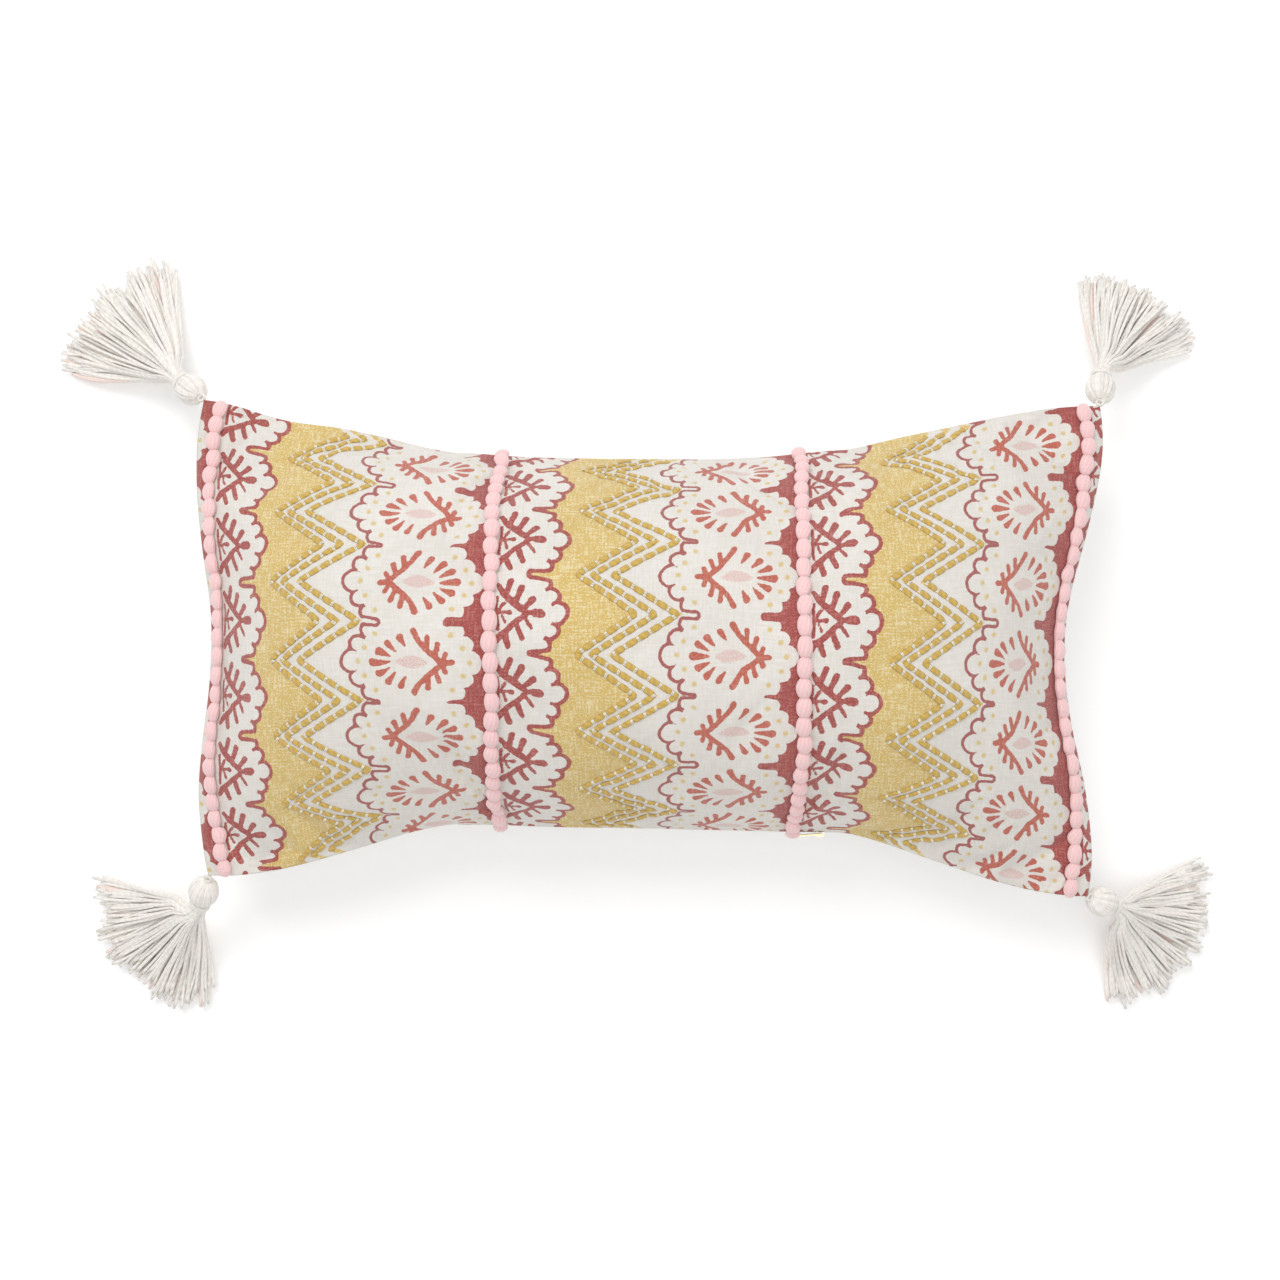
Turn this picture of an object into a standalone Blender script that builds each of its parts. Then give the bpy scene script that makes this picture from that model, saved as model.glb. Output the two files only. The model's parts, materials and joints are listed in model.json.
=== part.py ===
"""Oblong throw pillow: a zipped cotton cover with bobble trims, couched zigzag yarns and corner tassels,
round a cloth-cased insert of fibre.

It lies on its back on the ground plane z = 0, printed side up. X runs along it and Y across it. Each
panel of the cover is cut flat, and the filling bends it across into arcs of one length, wide and deep at
mid length and flat at the ends. A place on a panel is given by shares (a, b), from -1 to 1, of its half
length and half width. Units are metres.
"""

import math
from functools import lru_cache
from typing import NamedTuple

import bmesh
import bpy
import numpy as np
from mathutils import Matrix, Vector

# The cover, as it is cut
COVER_LENGTH = 0.560
COVER_WIDTH = 0.306
CLOTH = 0.0010
SEAM_GAP = 0.0003
CLEARANCE = 0.0003

# The shape that the filling gives it
PLUMP_ANGLE = math.radians(72.0)
STRAIGHT_MIDDLE = 0.236
TAPER_POWER = 1.4
BACK_FLATTENING = 0.012
CORNER_DROOP = 0.014
CORNER_SHIFTS = {
    (-1, 1): (0.002, -0.003),
    (1, 1): (0.004, -0.008),
    (-1, -1): (0.005, 0.009),
    (1, -1): (-0.004, -0.004),
}
CROWN_STRETCH = 0.055

# How far along it the crown of the pillow lies off the middle of its seams: everywhere, and at the end on
# each side
CROWN_SHIFT = -0.0015
END_SHIFTS = {-1: -0.0218, 1: 0.0073}

# Swells of the side at +Y: where along it, how far out, and over what share of the half length
SIDE_SWELLS = ((0.47, 0.0130, 0.20), (-0.45, 0.0045, 0.15), (-0.80, -0.0080, 0.13))

# The insert: how far it stays inside what is round it, and the cloth of its casing
CASING_CLOTH = 0.0006
CASING_END_SLACK = 0.009
CASING_SIDE_SLACK = 0.0075
CASING_TOP_SLACK = 0.0026
FILL_END_SLACK = 0.006
FILL_SIDE_SLACK = 0.0045
FILL_TOP_SLACK = 0.0024
INSERT_CORNER_ROUNDING = 0.10

# Bobble trims: the end ones lie this far inside the end seams, and the others split what is between
TRIM_COUNT = 4
TRIM_INSET = 0.012
BOBBLE_PITCH = 0.0115
BOBBLE_WIDTH = 0.0090
BOBBLE_HEIGHT = 0.0056
BOBBLE_WAIST = 0.0056
TRIM_HEM = 0.0016

# Couched yarns: a zigzag's turns lie at shares of the way from one trim to the next, and each gap between
# two trims has its own phase
YARN_ROWS = ((0.273, 0.460), (0.320, 0.523), (0.386, 0.595))
ZIGZAG_PERIOD = 0.0455
ZIGZAG_PHASES = (-0.0122, -0.0062, -0.0082)
YARN_DIAMETER = 0.0022
YARN_HEM = 0.004
YARN_LIFT = 0.0009

# Tassels
LOOP_LENGTH = 0.0044
LOOP_WIDTH = 0.0056
LOOP_THREAD = 0.0013
HEAD_DIAMETER = 0.020
NECK_DIAMETER = 0.0116
WRAP_THREAD = 0.0016
SKIRT_THICKNESS = 0.016
SKIRT_END_THICKNESS = 0.009
TASSEL_TILT = math.radians(38.0)
GROUND_GAP = 0.0004

# Zip, in the middle of the seam along the side at -Y
ZIP_LENGTH = 0.226
ZIP_SLIT = 0.0026
ZIP_FADE = 0.006
TAPE_WIDTH = 0.012
TAPE_THICKNESS = 0.0005
TEETH_HEIGHT = 0.0016
TEETH_DEPTH = 0.0016
TEETH_GAP = 0.0012
TEETH_INSET = 0.0028
SLIDER_LENGTH = 0.0080
SLIDER_PLATE = 0.0006
SLIDER_PLATE_HEIGHT = 0.0036
SLIDER_POST = 0.0005
BAIL_REACH = 0.0028
BAIL_WIRE = 0.0008
BAIL_OPENING = 0.0030
PULL_LENGTH = 0.020
PULL_WIDTH = 0.0060
PULL_BAR = 0.0010
PULL_RAIL = 0.0012
PULL_LEAN = math.radians(5.0)
STOP_LENGTH = 0.0020

HALF_LENGTH = COVER_LENGTH / 2
HALF_WIDTH = COVER_WIDTH / 2
MIDDLE_RADIUS = HALF_WIDTH / PLUMP_ANGLE
MIDDLE_HALF_CHORD = MIDDLE_RADIUS * math.sin(PLUMP_ANGLE)
MIDDLE_RISE = MIDDLE_RADIUS * (1 - math.cos(PLUMP_ANGLE))
SEAM_HEIGHT = MIDDLE_RISE + CLOTH + SEAM_GAP / 2 - BACK_FLATTENING
FRONT, BACK = 1, -1
ALONG_STEPS = 400
NUDGE = 0.004

# How finely the meshes are cut: lines on the panels, and how far they crowd to the edges
LINES_ALONG, CROWDING_ALONG = 23, 0.45
LINES_ACROSS, CROWDING_ACROSS = 17, 0.25
LEAST_LINE_GAP = 0.03
ZIP_LINES = 13
TRIM_SIDES = 6
YARN_SIDES = 5


class Tassel(NamedTuple):
    """Headings are degrees from +X as seen from above."""

    corner: tuple
    heading: float
    fan_heading: float
    fan_half_angle: float
    skirt_length: float


TASSELS = {
    "top_left": Tassel((-1, 1), 142.0, 136.5, 39.0, 0.097),
    "top_right": Tassel((1, 1), 79.0, 59.0, 41.0, 0.084),
    "bottom_left": Tassel((-1, -1), 247.0, 222.0, 51.0, 0.087),
    "bottom_right": Tassel((1, -1), 339.0, 328.0, 58.0, 0.083),
}


class Layer(NamedTuple):
    """One closed layer of the pillow, as scales of the cover's shape and its height over the ground."""

    scale: Vector
    rounding: float
    lip: float
    ground: float


# ---------------------------------------------------------------- the pillow's shape


def plumpness(a):
    """Half the angle of the arc that a panel makes across, at share a of its half length."""
    straight = STRAIGHT_MIDDLE / COVER_LENGTH
    past = np.clip((np.abs(a) - straight) / (1 - straight), 0, 1)
    return np.maximum(PLUMP_ANGLE * (1 - past**TAPER_POWER), 1e-4)


def cross_section(a, b):
    """How far across, and how high over the seam, a place on a panel lies. The crown is stretched most."""
    angle = plumpness(a)
    radius = HALF_WIDTH / angle
    turned = angle * (b + CROWN_STRETCH * b * (1 - b**2))
    return radius * np.sin(turned), radius * (np.cos(turned) - np.cos(angle))


@lru_cache(maxsize=None)
def distances_along(b):
    """How far along the pillow the cloth reaches, at even steps of a: it doesn't stretch as it climbs."""
    across, rise = cross_section(np.linspace(0, 1, ALONG_STEPS + 1), b)
    step = HALF_LENGTH / ALONG_STEPS
    along = np.sqrt(np.maximum(step**2 - np.diff(across) ** 2 - np.diff(rise) ** 2, step**2 / 100))
    return np.concatenate([[0.0], np.cumsum(along)])


def even_point(a, b):
    """A place on the even pillow's upper half, over its seam plane."""
    shares = np.linspace(0, 1, ALONG_STEPS + 1)
    along = math.copysign(np.interp(abs(a), shares, distances_along(round(b, 6))), a)
    across, rise = cross_section(a, b)
    return Vector((along, float(across), float(rise)))


def even_normal(a, b):
    """The outward normal there."""
    ends = [min(1.0, a + NUDGE), max(-1.0, a - NUDGE), min(1.0, b + NUDGE), max(-1.0, b - NUDGE)]
    along = even_point(ends[0], b) - even_point(ends[1], b)
    across = even_point(a, ends[2]) - even_point(a, ends[3])
    return along.cross(across).normalized()


def settled(point):
    """Where a point of the even pillow, measured from its seam plane, comes to lie."""
    along = max(-1.0, min(1.0, point.x / HALF_LENGTH))
    across = max(-1.0, min(1.0, point.y / HALF_WIDTH))
    move = Vector((0.0, 0.0, SEAM_HEIGHT - CORNER_DROOP * along**4 * across**2))
    for (side_x, side_y), (shift_x, shift_y) in CORNER_SHIFTS.items():
        weight = (1 + side_x * along) * (1 + side_y * across) / 4
        move += weight * Vector((shift_x, shift_y, 0.0))
    crown = CROWN_SHIFT + END_SHIFTS[1 if along > 0 else -1] * along**2
    move.x += crown * (1 - across**2) ** 2
    for place, reach, spread in SIDE_SWELLS:
        move.y += reach * math.exp(-(((along - place) / spread) ** 2)) * max(0.0, across) ** 2
    return point + move


def zip_opening(a, b):
    """How much further than elsewhere each panel stands off the seam plane at the zip's slit."""
    half_zip = ZIP_LENGTH / COVER_LENGTH
    past_end = max(0.0, abs(a) - half_zip) / (ZIP_FADE / HALF_LENGTH)
    return (ZIP_SLIT - SEAM_GAP) / 2 * max(0.0, 1 - past_end) * max(0.0, -b) ** 12


def panel_point(layer, a, b, side, depth):
    """A point of a layer, depth under its outer face, or over it where depth is negative."""
    point = even_point(a, b)
    round_off = 1 - layer.rounding * (abs(a) * abs(b)) ** 4
    point = Vector(
        (
            point.x * layer.scale.x * round_off,
            point.y * layer.scale.y * round_off,
            point.z * layer.scale.z,
        )
    )
    point -= depth * even_normal(a, b)
    point.z = (point.z + layer.lip + zip_opening(a, b)) * side
    place = settled(point)
    if side == BACK:
        place.z = max(place.z, layer.ground + max(depth, 0.0))
    return place


def layer_inside(scale, end_slack, side_slack, top_slack, lip, ground):
    """The layer that stays these distances inside one of the given scale."""
    inner = Vector(
        (
            scale.x - end_slack / HALF_LENGTH,
            scale.y - side_slack / MIDDLE_HALF_CHORD,
            scale.z - top_slack / MIDDLE_RISE,
        )
    )
    return Layer(inner, INSERT_CORNER_ROUNDING, lip, ground)


COVER = Layer(Vector((1, 1, 1)), 0.0, CLOTH + SEAM_GAP / 2, 0.0)
CASING = layer_inside(
    COVER.scale,
    CASING_END_SLACK,
    CASING_SIDE_SLACK,
    CASING_TOP_SLACK,
    CASING_CLOTH + SEAM_GAP / 2,
    COVER.ground + CLOTH + CLEARANCE,
)
FILLING = layer_inside(
    CASING.scale,
    FILL_END_SLACK,
    FILL_SIDE_SLACK,
    FILL_TOP_SLACK,
    SEAM_GAP / 2,
    CASING.ground + CASING_CLOTH + CLEARANCE,
)


# ---------------------------------------------------------------- making objects


def material(name, colour, roughness, metallic=0.0):
    made = bpy.data.materials.get(name)
    if made is None:
        made = bpy.data.materials.new(name)
        made.use_nodes = True
        shader = made.node_tree.nodes["Principled BSDF"]
        shader.inputs["Base Color"].default_value = (*colour, 1.0)
        shader.inputs["Roughness"].default_value = roughness
        shader.inputs["Metallic"].default_value = metallic
    return made


def mustard_yarn():
    return material("mustard_yarn", (0.60, 0.42, 0.08), 0.85)


def ivory_yarn():
    return material("ivory_yarn", (0.80, 0.76, 0.70), 0.9)


def cotton(name, colour):
    return material(name, colour, 0.9)


def brass_wire():
    return material("zip_metal", (0.72, 0.62, 0.42), 0.35, 1.0)


def new_object(name, points, faces, look, carrier, smooth_angle=50.0):
    """An object of these world points, whose origin is its carrier's place."""
    mesh = bpy.data.meshes.new(name)
    origin = place_of(carrier)
    mesh.from_pydata([Vector(point) - origin for point in points], [], faces)
    solid = bmesh.new()
    solid.from_mesh(mesh)
    bmesh.ops.recalc_face_normals(solid, faces=solid.faces)
    solid.to_mesh(mesh)
    solid.free()
    mesh.shade_smooth()
    mesh.set_sharp_from_angle(angle=math.radians(smooth_angle))
    mesh.materials.append(look)
    made = bpy.data.objects.new(name, mesh)
    bpy.context.scene.collection.objects.link(made)
    made.parent = carrier
    return made


def new_carrier(name, place, parent=None):
    """An empty on a joint's axis."""
    carrier = bpy.data.objects.new(name, None)
    bpy.context.scene.collection.objects.link(carrier)
    carrier.parent = parent
    carrier.location = place - place_of(parent)
    return carrier


def place_of(carrier):
    place = Vector((0.0, 0.0, 0.0))
    while carrier is not None:
        place += carrier.location
        carrier = carrier.parent
    return place


def grid_faces(rows, columns, start=0, closed=False):
    """Quads of a grid of points stored row by row; a closed one joins its last column to its first."""
    faces = []
    for row in range(rows - 1):
        for column in range(columns if closed else columns - 1):
            here = start + row * columns + column
            beside = start + row * columns + (column + 1) % columns
            faces.append((here, beside, beside + columns, here + columns))
    return faces


def ring_faces(ring_count, ring_size):
    """Faces of a tube of rings, with a flat cap on each end."""
    last = (ring_count - 1) * ring_size
    caps = [tuple(range(ring_size)), tuple(range(last, last + ring_size))]
    return grid_faces(ring_count, ring_size, closed=True) + caps


def two_sided(outer, inner):
    """Points and faces of the closed body between two grids of points with the same rows and columns."""
    rows, columns = len(outer), len(outer[0])
    points = [point for grid in (outer, inner) for row in grid for point in row]
    half = rows * columns
    faces = grid_faces(rows, columns) + grid_faces(rows, columns, start=half)
    border = [column for column in range(columns)]
    border += [row * columns + columns - 1 for row in range(1, rows)]
    border += [(rows - 1) * columns + column for column in range(columns - 2, -1, -1)]
    border += [row * columns for row in range(rows - 2, 0, -1)]
    for here, following in zip(border, border[1:] + border[:1]):
        faces.append((here, following, following + half, here + half))
    return points, faces


def swept_ring(centre, sideways, upwards, half_width, half_height, sides):
    """A ring of points round a centre."""
    ring = []
    for side in range(sides):
        turn = 2 * math.pi * side / sides
        ring.append(centre + sideways * half_width * math.cos(turn) + upwards * half_height * math.sin(turn))
    return ring


def torus(name, centre, axis, wide, major, minor, major_steps, minor_steps, look, carrier):
    """A ring of wire about an axis; major gives its half sizes along wide and square to it."""
    other = axis.cross(wide).normalized()
    points = []
    for step in range(major_steps):
        turn = 2 * math.pi * step / major_steps
        middle = wide * major[0] * math.cos(turn) + other * major[1] * math.sin(turn)
        outward = (wide * math.cos(turn) + other * math.sin(turn)).normalized()
        points += swept_ring(centre + middle, outward, axis, minor, minor, minor_steps)
    faces = grid_faces(major_steps, minor_steps, closed=True)
    last = (major_steps - 1) * minor_steps
    for column in range(minor_steps):
        beside = (column + 1) % minor_steps
        faces.append((last + column, last + beside, beside, column))
    return new_object(name, points, faces, look, carrier)


# ---------------------------------------------------------------- cover, insert and filling


def trim_places():
    """The flat distances of the trims from the middle of the panel."""
    last = HALF_LENGTH - TRIM_INSET
    return [last * (2 * number / (TRIM_COUNT - 1) - 1) for number in range(TRIM_COUNT)]


def stations(count, crowding):
    """Shares from -1 to 1, closer together near the ends."""
    even = np.linspace(-1, 1, count)
    return [float(share) for share in (1 - crowding) * even + crowding * np.sin(math.pi / 2 * even)]


def panel_grid(layer, shares_a, shares_b, side, depth):
    return [[panel_point(layer, a, b, side, depth) for b in shares_b] for a in shares_a]


def cloth_panel(name, layer, cloth, shares, side, look, root):
    """A bowl of cloth on one side of the seam."""
    outer = panel_grid(layer, *shares, side, 0.0)
    inner = panel_grid(layer, *shares, side, cloth)
    new_object(name, *two_sided(outer, inner), look, root)


def layer_shares():
    """Every layer has the same lines, so that one nests in the next. One line runs under each trim."""
    under_trims = [place / HALF_LENGTH for place in trim_places()]
    plain = []
    for a in stations(LINES_ALONG, CROWDING_ALONG):
        if min(abs(a - trim) for trim in under_trims) > LEAST_LINE_GAP:
            plain.append(a)
    return sorted(plain + under_trims), stations(LINES_ACROSS, CROWDING_ACROSS)


def make_cover(root):
    shares = layer_shares()
    print_cloth = cotton("printed_cotton", (0.78, 0.62, 0.34))
    plain_cloth = cotton("plain_cotton", (0.83, 0.79, 0.72))
    cloth_panel("cover_front", COVER, CLOTH, shares, FRONT, print_cloth, root)
    cloth_panel("cover_back", COVER, CLOTH, shares, BACK, plain_cloth, root)


def make_insert(root):
    shares = layer_shares()
    look = cotton("casing_cloth", (0.85, 0.85, 0.84))
    cloth_panel("insert_casing_front", CASING, CASING_CLOTH, shares, FRONT, look, root)
    cloth_panel("insert_casing_back", CASING, CASING_CLOTH, shares, BACK, look, root)
    upper = panel_grid(FILLING, *shares, FRONT, 0.0)
    lower = panel_grid(FILLING, *shares, BACK, 0.0)
    look = material("polyester_fibre", (0.9, 0.9, 0.9), 0.95)
    new_object("fibre_fill", *two_sided(upper, lower), look, root)


# ---------------------------------------------------------------- trims and yarns on the front


def front_frame(a, b, height):
    """A point at a height over the front panel, with the directions along, across and off the panel."""
    place = panel_point(COVER, a, b, FRONT, -height)
    along = panel_point(COVER, min(1, a + NUDGE), b, FRONT, -height)
    along -= panel_point(COVER, max(-1, a - NUDGE), b, FRONT, -height)
    across = panel_point(COVER, a, min(1, b + NUDGE), FRONT, -height)
    across -= panel_point(COVER, a, max(-1, b - NUDGE), FRONT, -height)
    return place, along.normalized(), across.normalized(), along.cross(across).normalized()


def make_trims(root):
    """Each trim is a string of bobbles that narrows to a waist between them."""
    look = material("pink_cotton", (0.80, 0.42, 0.45), 0.85)
    run = COVER_WIDTH - 2 * TRIM_HEM
    bobbles = round(run / BOBBLE_PITCH)
    height = BOBBLE_HEIGHT / 2 + CLEARANCE
    for number, flat_place in enumerate(trim_places(), start=1):
        points = []
        for ring in range(2 * bobbles + 1):
            b = (ring / bobbles - 1) * (1 - TRIM_HEM / HALF_WIDTH)
            size = BOBBLE_WIDTH if ring % 2 else BOBBLE_WAIST
            place, _, across, off = front_frame(flat_place / HALF_LENGTH, b, height)
            sideways = across.cross(off).normalized()
            tall = size / BOBBLE_WIDTH * BOBBLE_HEIGHT
            place -= off * (BOBBLE_HEIGHT - tall) / 2
            points += swept_ring(place, sideways, off, size / 2, tall / 2, TRIM_SIDES)
        faces = ring_faces(2 * bobbles + 1, TRIM_SIDES)
        new_object(f"bobble_trim_{number}", points, faces, look, root)


def zigzag(left, right, phase):
    """Flat points (along, across) of one zigzag between two lines, from hem to hem of the panel."""
    reach = HALF_WIDTH - YARN_HEM
    half = ZIGZAG_PERIOD / 2
    first = math.ceil((-reach - phase) / half)
    last = math.floor((reach - phase) / half)
    turns = []
    for turn in range(first, last + 1):
        turns.append((phase + turn * half, left if turn % 2 == 0 else right))

    def cut_end(inner, outer_across):
        share = (outer_across - inner[0]) / half
        other = right if inner[1] == left else left
        return outer_across, inner[1] + (other - inner[1]) * abs(share)

    turns = [cut_end(turns[0], -reach), *turns, cut_end(turns[-1], reach)]
    flat = []
    for (across, along), (next_across, next_along) in zip(turns, turns[1:]):
        pieces = 2 if abs(next_across - across) > half / 2 else 1
        for piece in range(pieces):
            share = piece / pieces
            flat.append((along + (next_along - along) * share, across + (next_across - across) * share))
    return [*flat, (turns[-1][1], turns[-1][0])]


def yarn_along(name, flat, look, root):
    """A round yarn on the front panel through flat points, mitred where it turns."""
    height = YARN_DIAMETER / 2 + YARN_LIFT
    frames = [front_frame(x / HALF_LENGTH, y / HALF_WIDTH, height) for x, y in flat]
    places = [frame[0] for frame in frames]
    points = []
    for number, (place, _, _, off) in enumerate(frames):
        before = (place - places[max(0, number - 1)]).normalized()
        after = (places[min(len(places) - 1, number + 1)] - place).normalized()
        ahead = (before + after).normalized()
        mitre = 1 / max(0.5, ahead.dot(after if after.length else before))
        sideways = ahead.cross(off).normalized()
        radius = YARN_DIAMETER / 2
        points += swept_ring(place, sideways, off, radius * mitre, radius, YARN_SIDES)
    new_object(name, points, ring_faces(len(flat), YARN_SIDES), look, root)


def make_yarns(root):
    trims = trim_places()
    for panel, (start, end, phase) in enumerate(zip(trims, trims[1:], ZIGZAG_PHASES), start=1):
        for row, (left, right) in enumerate(YARN_ROWS, start=1):
            lines = [start + share * (end - start) for share in (left, right)]
            yarn_along(f"couched_yarn_{panel}{row}", zigzag(*lines, phase), mustard_yarn(), root)


# ---------------------------------------------------------------- tassels


def heading_vector(degrees):
    return Vector((math.cos(math.radians(degrees)), math.sin(math.radians(degrees)), 0.0))


def skirt_profile(length, drop):
    """Distances out and down, at even steps, of a bundle that leaves at the tassel's tilt and ends level,
    bent just enough further to come down by the drop."""
    shares = np.linspace(0, 1, 41)

    def path(bend):
        angle = TASSEL_TILT * (1 - shares) + bend * np.sin(math.pi * shares)
        middle = (angle[1:] + angle[:-1]) / 2
        step = length / (len(shares) - 1)
        return np.cumsum(np.cos(middle) * step), np.cumsum(np.sin(middle) * step)

    least, most = 0.0, math.radians(80.0)
    for _ in range(40):
        bend = (least + most) / 2
        if path(bend)[1][-1] < drop:
            least = bend
        else:
            most = bend
    out, down = path(least)
    return shares, np.concatenate([[0.0], out]), np.concatenate([[0.0], down])


def skirt_mesh(tassel, neck):
    """A fan of rings from the neck to the ground."""
    drop = neck.z - GROUND_GAP - SKIRT_END_THICKNESS / 2
    shares, out, down = skirt_profile(tassel.skirt_length, drop)
    neck_radius = NECK_DIAMETER / 2
    head_out = heading_vector(tassel.heading)
    turn = (tassel.fan_heading - tassel.heading + 180) % 360 - 180
    points = []
    ring_shares = (0.0, 0.035, 0.12, 0.24, 0.38, 0.54, 0.70, 0.86, 1.0)
    sides = 14
    for share in ring_shares:
        opened = min(1.0, max(0.0, share - ring_shares[1]) / 0.3)
        opened = opened * opened * (3 - 2 * opened)
        narrow = 2 * neck_radius + (SKIRT_THICKNESS - 2 * neck_radius) * opened
        thick = narrow + (SKIRT_END_THICKNESS - SKIRT_THICKNESS) * max(0.0, share - 0.5) / 0.5
        far, low = np.interp(share, shares, out), np.interp(share, shares, down)
        steep = math.atan2(
            np.interp(share + 0.02, shares, down) - np.interp(share - 0.02, shares, down),
            np.interp(share + 0.02, shares, out) - np.interp(share - 0.02, shares, out),
        )
        for side in range(sides):
            angle = 2 * math.pi * side / sides
            fan = tassel.heading + turn * opened - tassel.fan_half_angle * opened * math.cos(angle)
            outward = heading_vector(fan)
            sideways = Vector((head_out.y, -head_out.x, 0.0))
            up = outward * math.sin(steep) + Vector((0.0, 0.0, math.cos(steep)))
            point = neck + outward * far - Vector((0.0, 0.0, low))
            point += sideways * neck_radius * math.cos(angle) * (1 - opened)
            point += up * thick / 2 * math.sin(angle)
            point.z = max(point.z, GROUND_GAP)
            points.append(point)
    last = (len(ring_shares) - 1) * sides
    faces = grid_faces(len(ring_shares), sides, closed=True) + [tuple(range(sides))]
    for side in range(sides // 2):
        upper, lower = side, -side % sides
        next_upper, next_lower = side + 1, -(side + 1) % sides
        corners = [upper, next_upper, next_lower, lower]
        faces.append(tuple(last + corner for corner in dict.fromkeys(corners)))
    return points, faces


def make_tassel(name, tassel, root):
    """Loop, head, neck wrap and skirt. The loop swings about its corner and carries the rest, which lifts."""
    tip = settled(even_point(*tassel.corner))
    axis = heading_vector(tassel.heading) * math.cos(TASSEL_TILT) - Vector((0, 0, math.sin(TASSEL_TILT)))
    wide = axis.cross(Vector((0, 0, 1))).normalized()
    loop_middle = tip + axis * (CLEARANCE + LOOP_LENGTH / 2)
    lift_place = tip + axis * (CLEARANCE + LOOP_LENGTH - LOOP_THREAD / 2)
    head_middle = tip + axis * (2 * CLEARANCE + LOOP_LENGTH + HEAD_DIAMETER / 2)
    neck = head_middle + axis * (HEAD_DIAMETER / 2 + CLEARANCE)

    swing = new_carrier(f"tassel_{name}_swing", tip, root)
    lift = new_carrier(f"tassel_{name}_lift", lift_place, swing)
    torus(
        f"tassel_{name}_loop",
        loop_middle,
        axis.cross(wide).normalized(),
        wide,
        ((LOOP_WIDTH - LOOP_THREAD) / 2, (LOOP_LENGTH - LOOP_THREAD) / 2),
        LOOP_THREAD / 2,
        10,
        6,
        ivory_yarn(),
        swing,
    )
    ball = bmesh.new()
    spin = axis.to_track_quat("Z", "Y").to_matrix().to_4x4()
    size = Matrix.Diagonal((HEAD_DIAMETER / 2, HEAD_DIAMETER / 2, HEAD_DIAMETER / 2, 1.0))
    bmesh.ops.create_uvsphere(
        ball, u_segments=14, v_segments=9, radius=1.0, matrix=Matrix.Translation(head_middle) @ spin @ size
    )
    ball.verts.index_update()
    ball_points = [vertex.co.copy() for vertex in ball.verts]
    ball_faces = [tuple(vertex.index for vertex in face.verts) for face in ball.faces]
    ball.free()
    new_object(f"tassel_{name}_head", ball_points, ball_faces, ivory_yarn(), lift)
    torus(
        f"tassel_{name}_neck_wrap",
        neck + axis * WRAP_THREAD / 2,
        axis,
        wide,
        [NECK_DIAMETER / 2 + CLEARANCE + WRAP_THREAD / 2] * 2,
        WRAP_THREAD / 2,
        14,
        6,
        ivory_yarn(),
        lift,
    )
    new_object(f"tassel_{name}_skirt", *skirt_mesh(tassel, neck), ivory_yarn(), lift)


# ---------------------------------------------------------------- zip


def seam_point(along, inset, up):
    """A point near the zip: its place along it, how far inside the seam's edge, and how far up."""
    return settled(Vector((along, inset - MIDDLE_HALF_CHORD, up)))


def block(lows, highs):
    """Points and faces of a box along the zip, between two triples of (along, inset, up)."""
    points = []
    for along in (lows[0], highs[0]):
        for inset, up in ((lows[1], lows[2]), (highs[1], lows[2]), (highs[1], highs[2]), (lows[1], highs[2])):
            points.append(seam_point(along, inset, up))
    return points, ring_faces(2, 4)


def united(name, shapes, look, carrier):
    """One object made of shapes that run into each other."""
    made = new_object(name, *shapes[0], look, carrier, 30.0)
    cutters = []
    for number, shape in enumerate(shapes[1:]):
        other = new_object(f"{name}_{number}", *shape, look, carrier)
        join = made.modifiers.new("join", "BOOLEAN")
        join.operation = "UNION"
        join.object = other
        cutters.append(other)
    bpy.context.view_layer.update()
    graph = bpy.context.evaluated_depsgraph_get()
    whole = bpy.data.meshes.new_from_object(made.evaluated_get(graph))
    made.modifiers.clear()
    made.data = whole
    for other in cutters:
        bpy.data.objects.remove(other)
    return made


def make_zip_tapes(root):
    """Each tape lies against the inside of its panel, from the teeth inwards."""
    look = cotton("zip_tape", (0.83, 0.79, 0.72))
    half = ZIP_LENGTH / COVER_LENGTH
    near = -1 + (TEETH_GAP / 2 + TEETH_HEIGHT) / HALF_WIDTH
    shares_a = [float(share) for share in np.linspace(-half, half, ZIP_LINES)]
    shares_b = [float(share) for share in np.linspace(near, near + TAPE_WIDTH / HALF_WIDTH, 5)]
    top = CLOTH + CLEARANCE
    for name, side in (("zip_tape_front", FRONT), ("zip_tape_back", BACK)):
        outer = panel_grid(COVER, shares_a, shares_b, side, top)
        inner = panel_grid(COVER, shares_a, shares_b, side, top + TAPE_THICKNESS)
        new_object(name, *two_sided(outer, inner), look, root)


def make_zip_teeth(root):
    look = material("zip_teeth", (0.84, 0.80, 0.74), 0.45)
    reach = ZIP_LENGTH / 2
    for name, side in (("zip_teeth_front", FRONT), ("zip_teeth_back", BACK)):
        up = sorted([side * TEETH_GAP / 2, side * (TEETH_GAP / 2 + TEETH_HEIGHT)])
        shape = block((-reach, TEETH_INSET, up[0]), (reach, TEETH_INSET + TEETH_DEPTH, up[1]))
        new_object(name, *shape, look, root, 30.0)


def make_zip_stops(root):
    """Crimped stops against the inner side of the teeth: one across both rows, and one on each row."""
    near = TEETH_INSET + TEETH_DEPTH + CLEARANCE
    far = near + 2 * SLIDER_PLATE
    rows = TEETH_GAP / 2 + TEETH_HEIGHT
    end = ZIP_LENGTH / 2
    spans = {
        "zip_bottom_stop": ((-end, near, -rows), (-end + STOP_LENGTH, far, rows)),
        "zip_top_stop_front": ((end - STOP_LENGTH, near, TEETH_GAP / 2), (end, far, rows)),
        "zip_top_stop_back": ((end - STOP_LENGTH, near, -rows), (end, far, -TEETH_GAP / 2)),
    }
    for name, span in spans.items():
        new_object(name, *block(*span), brass_wire(), root, 30.0)


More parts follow.
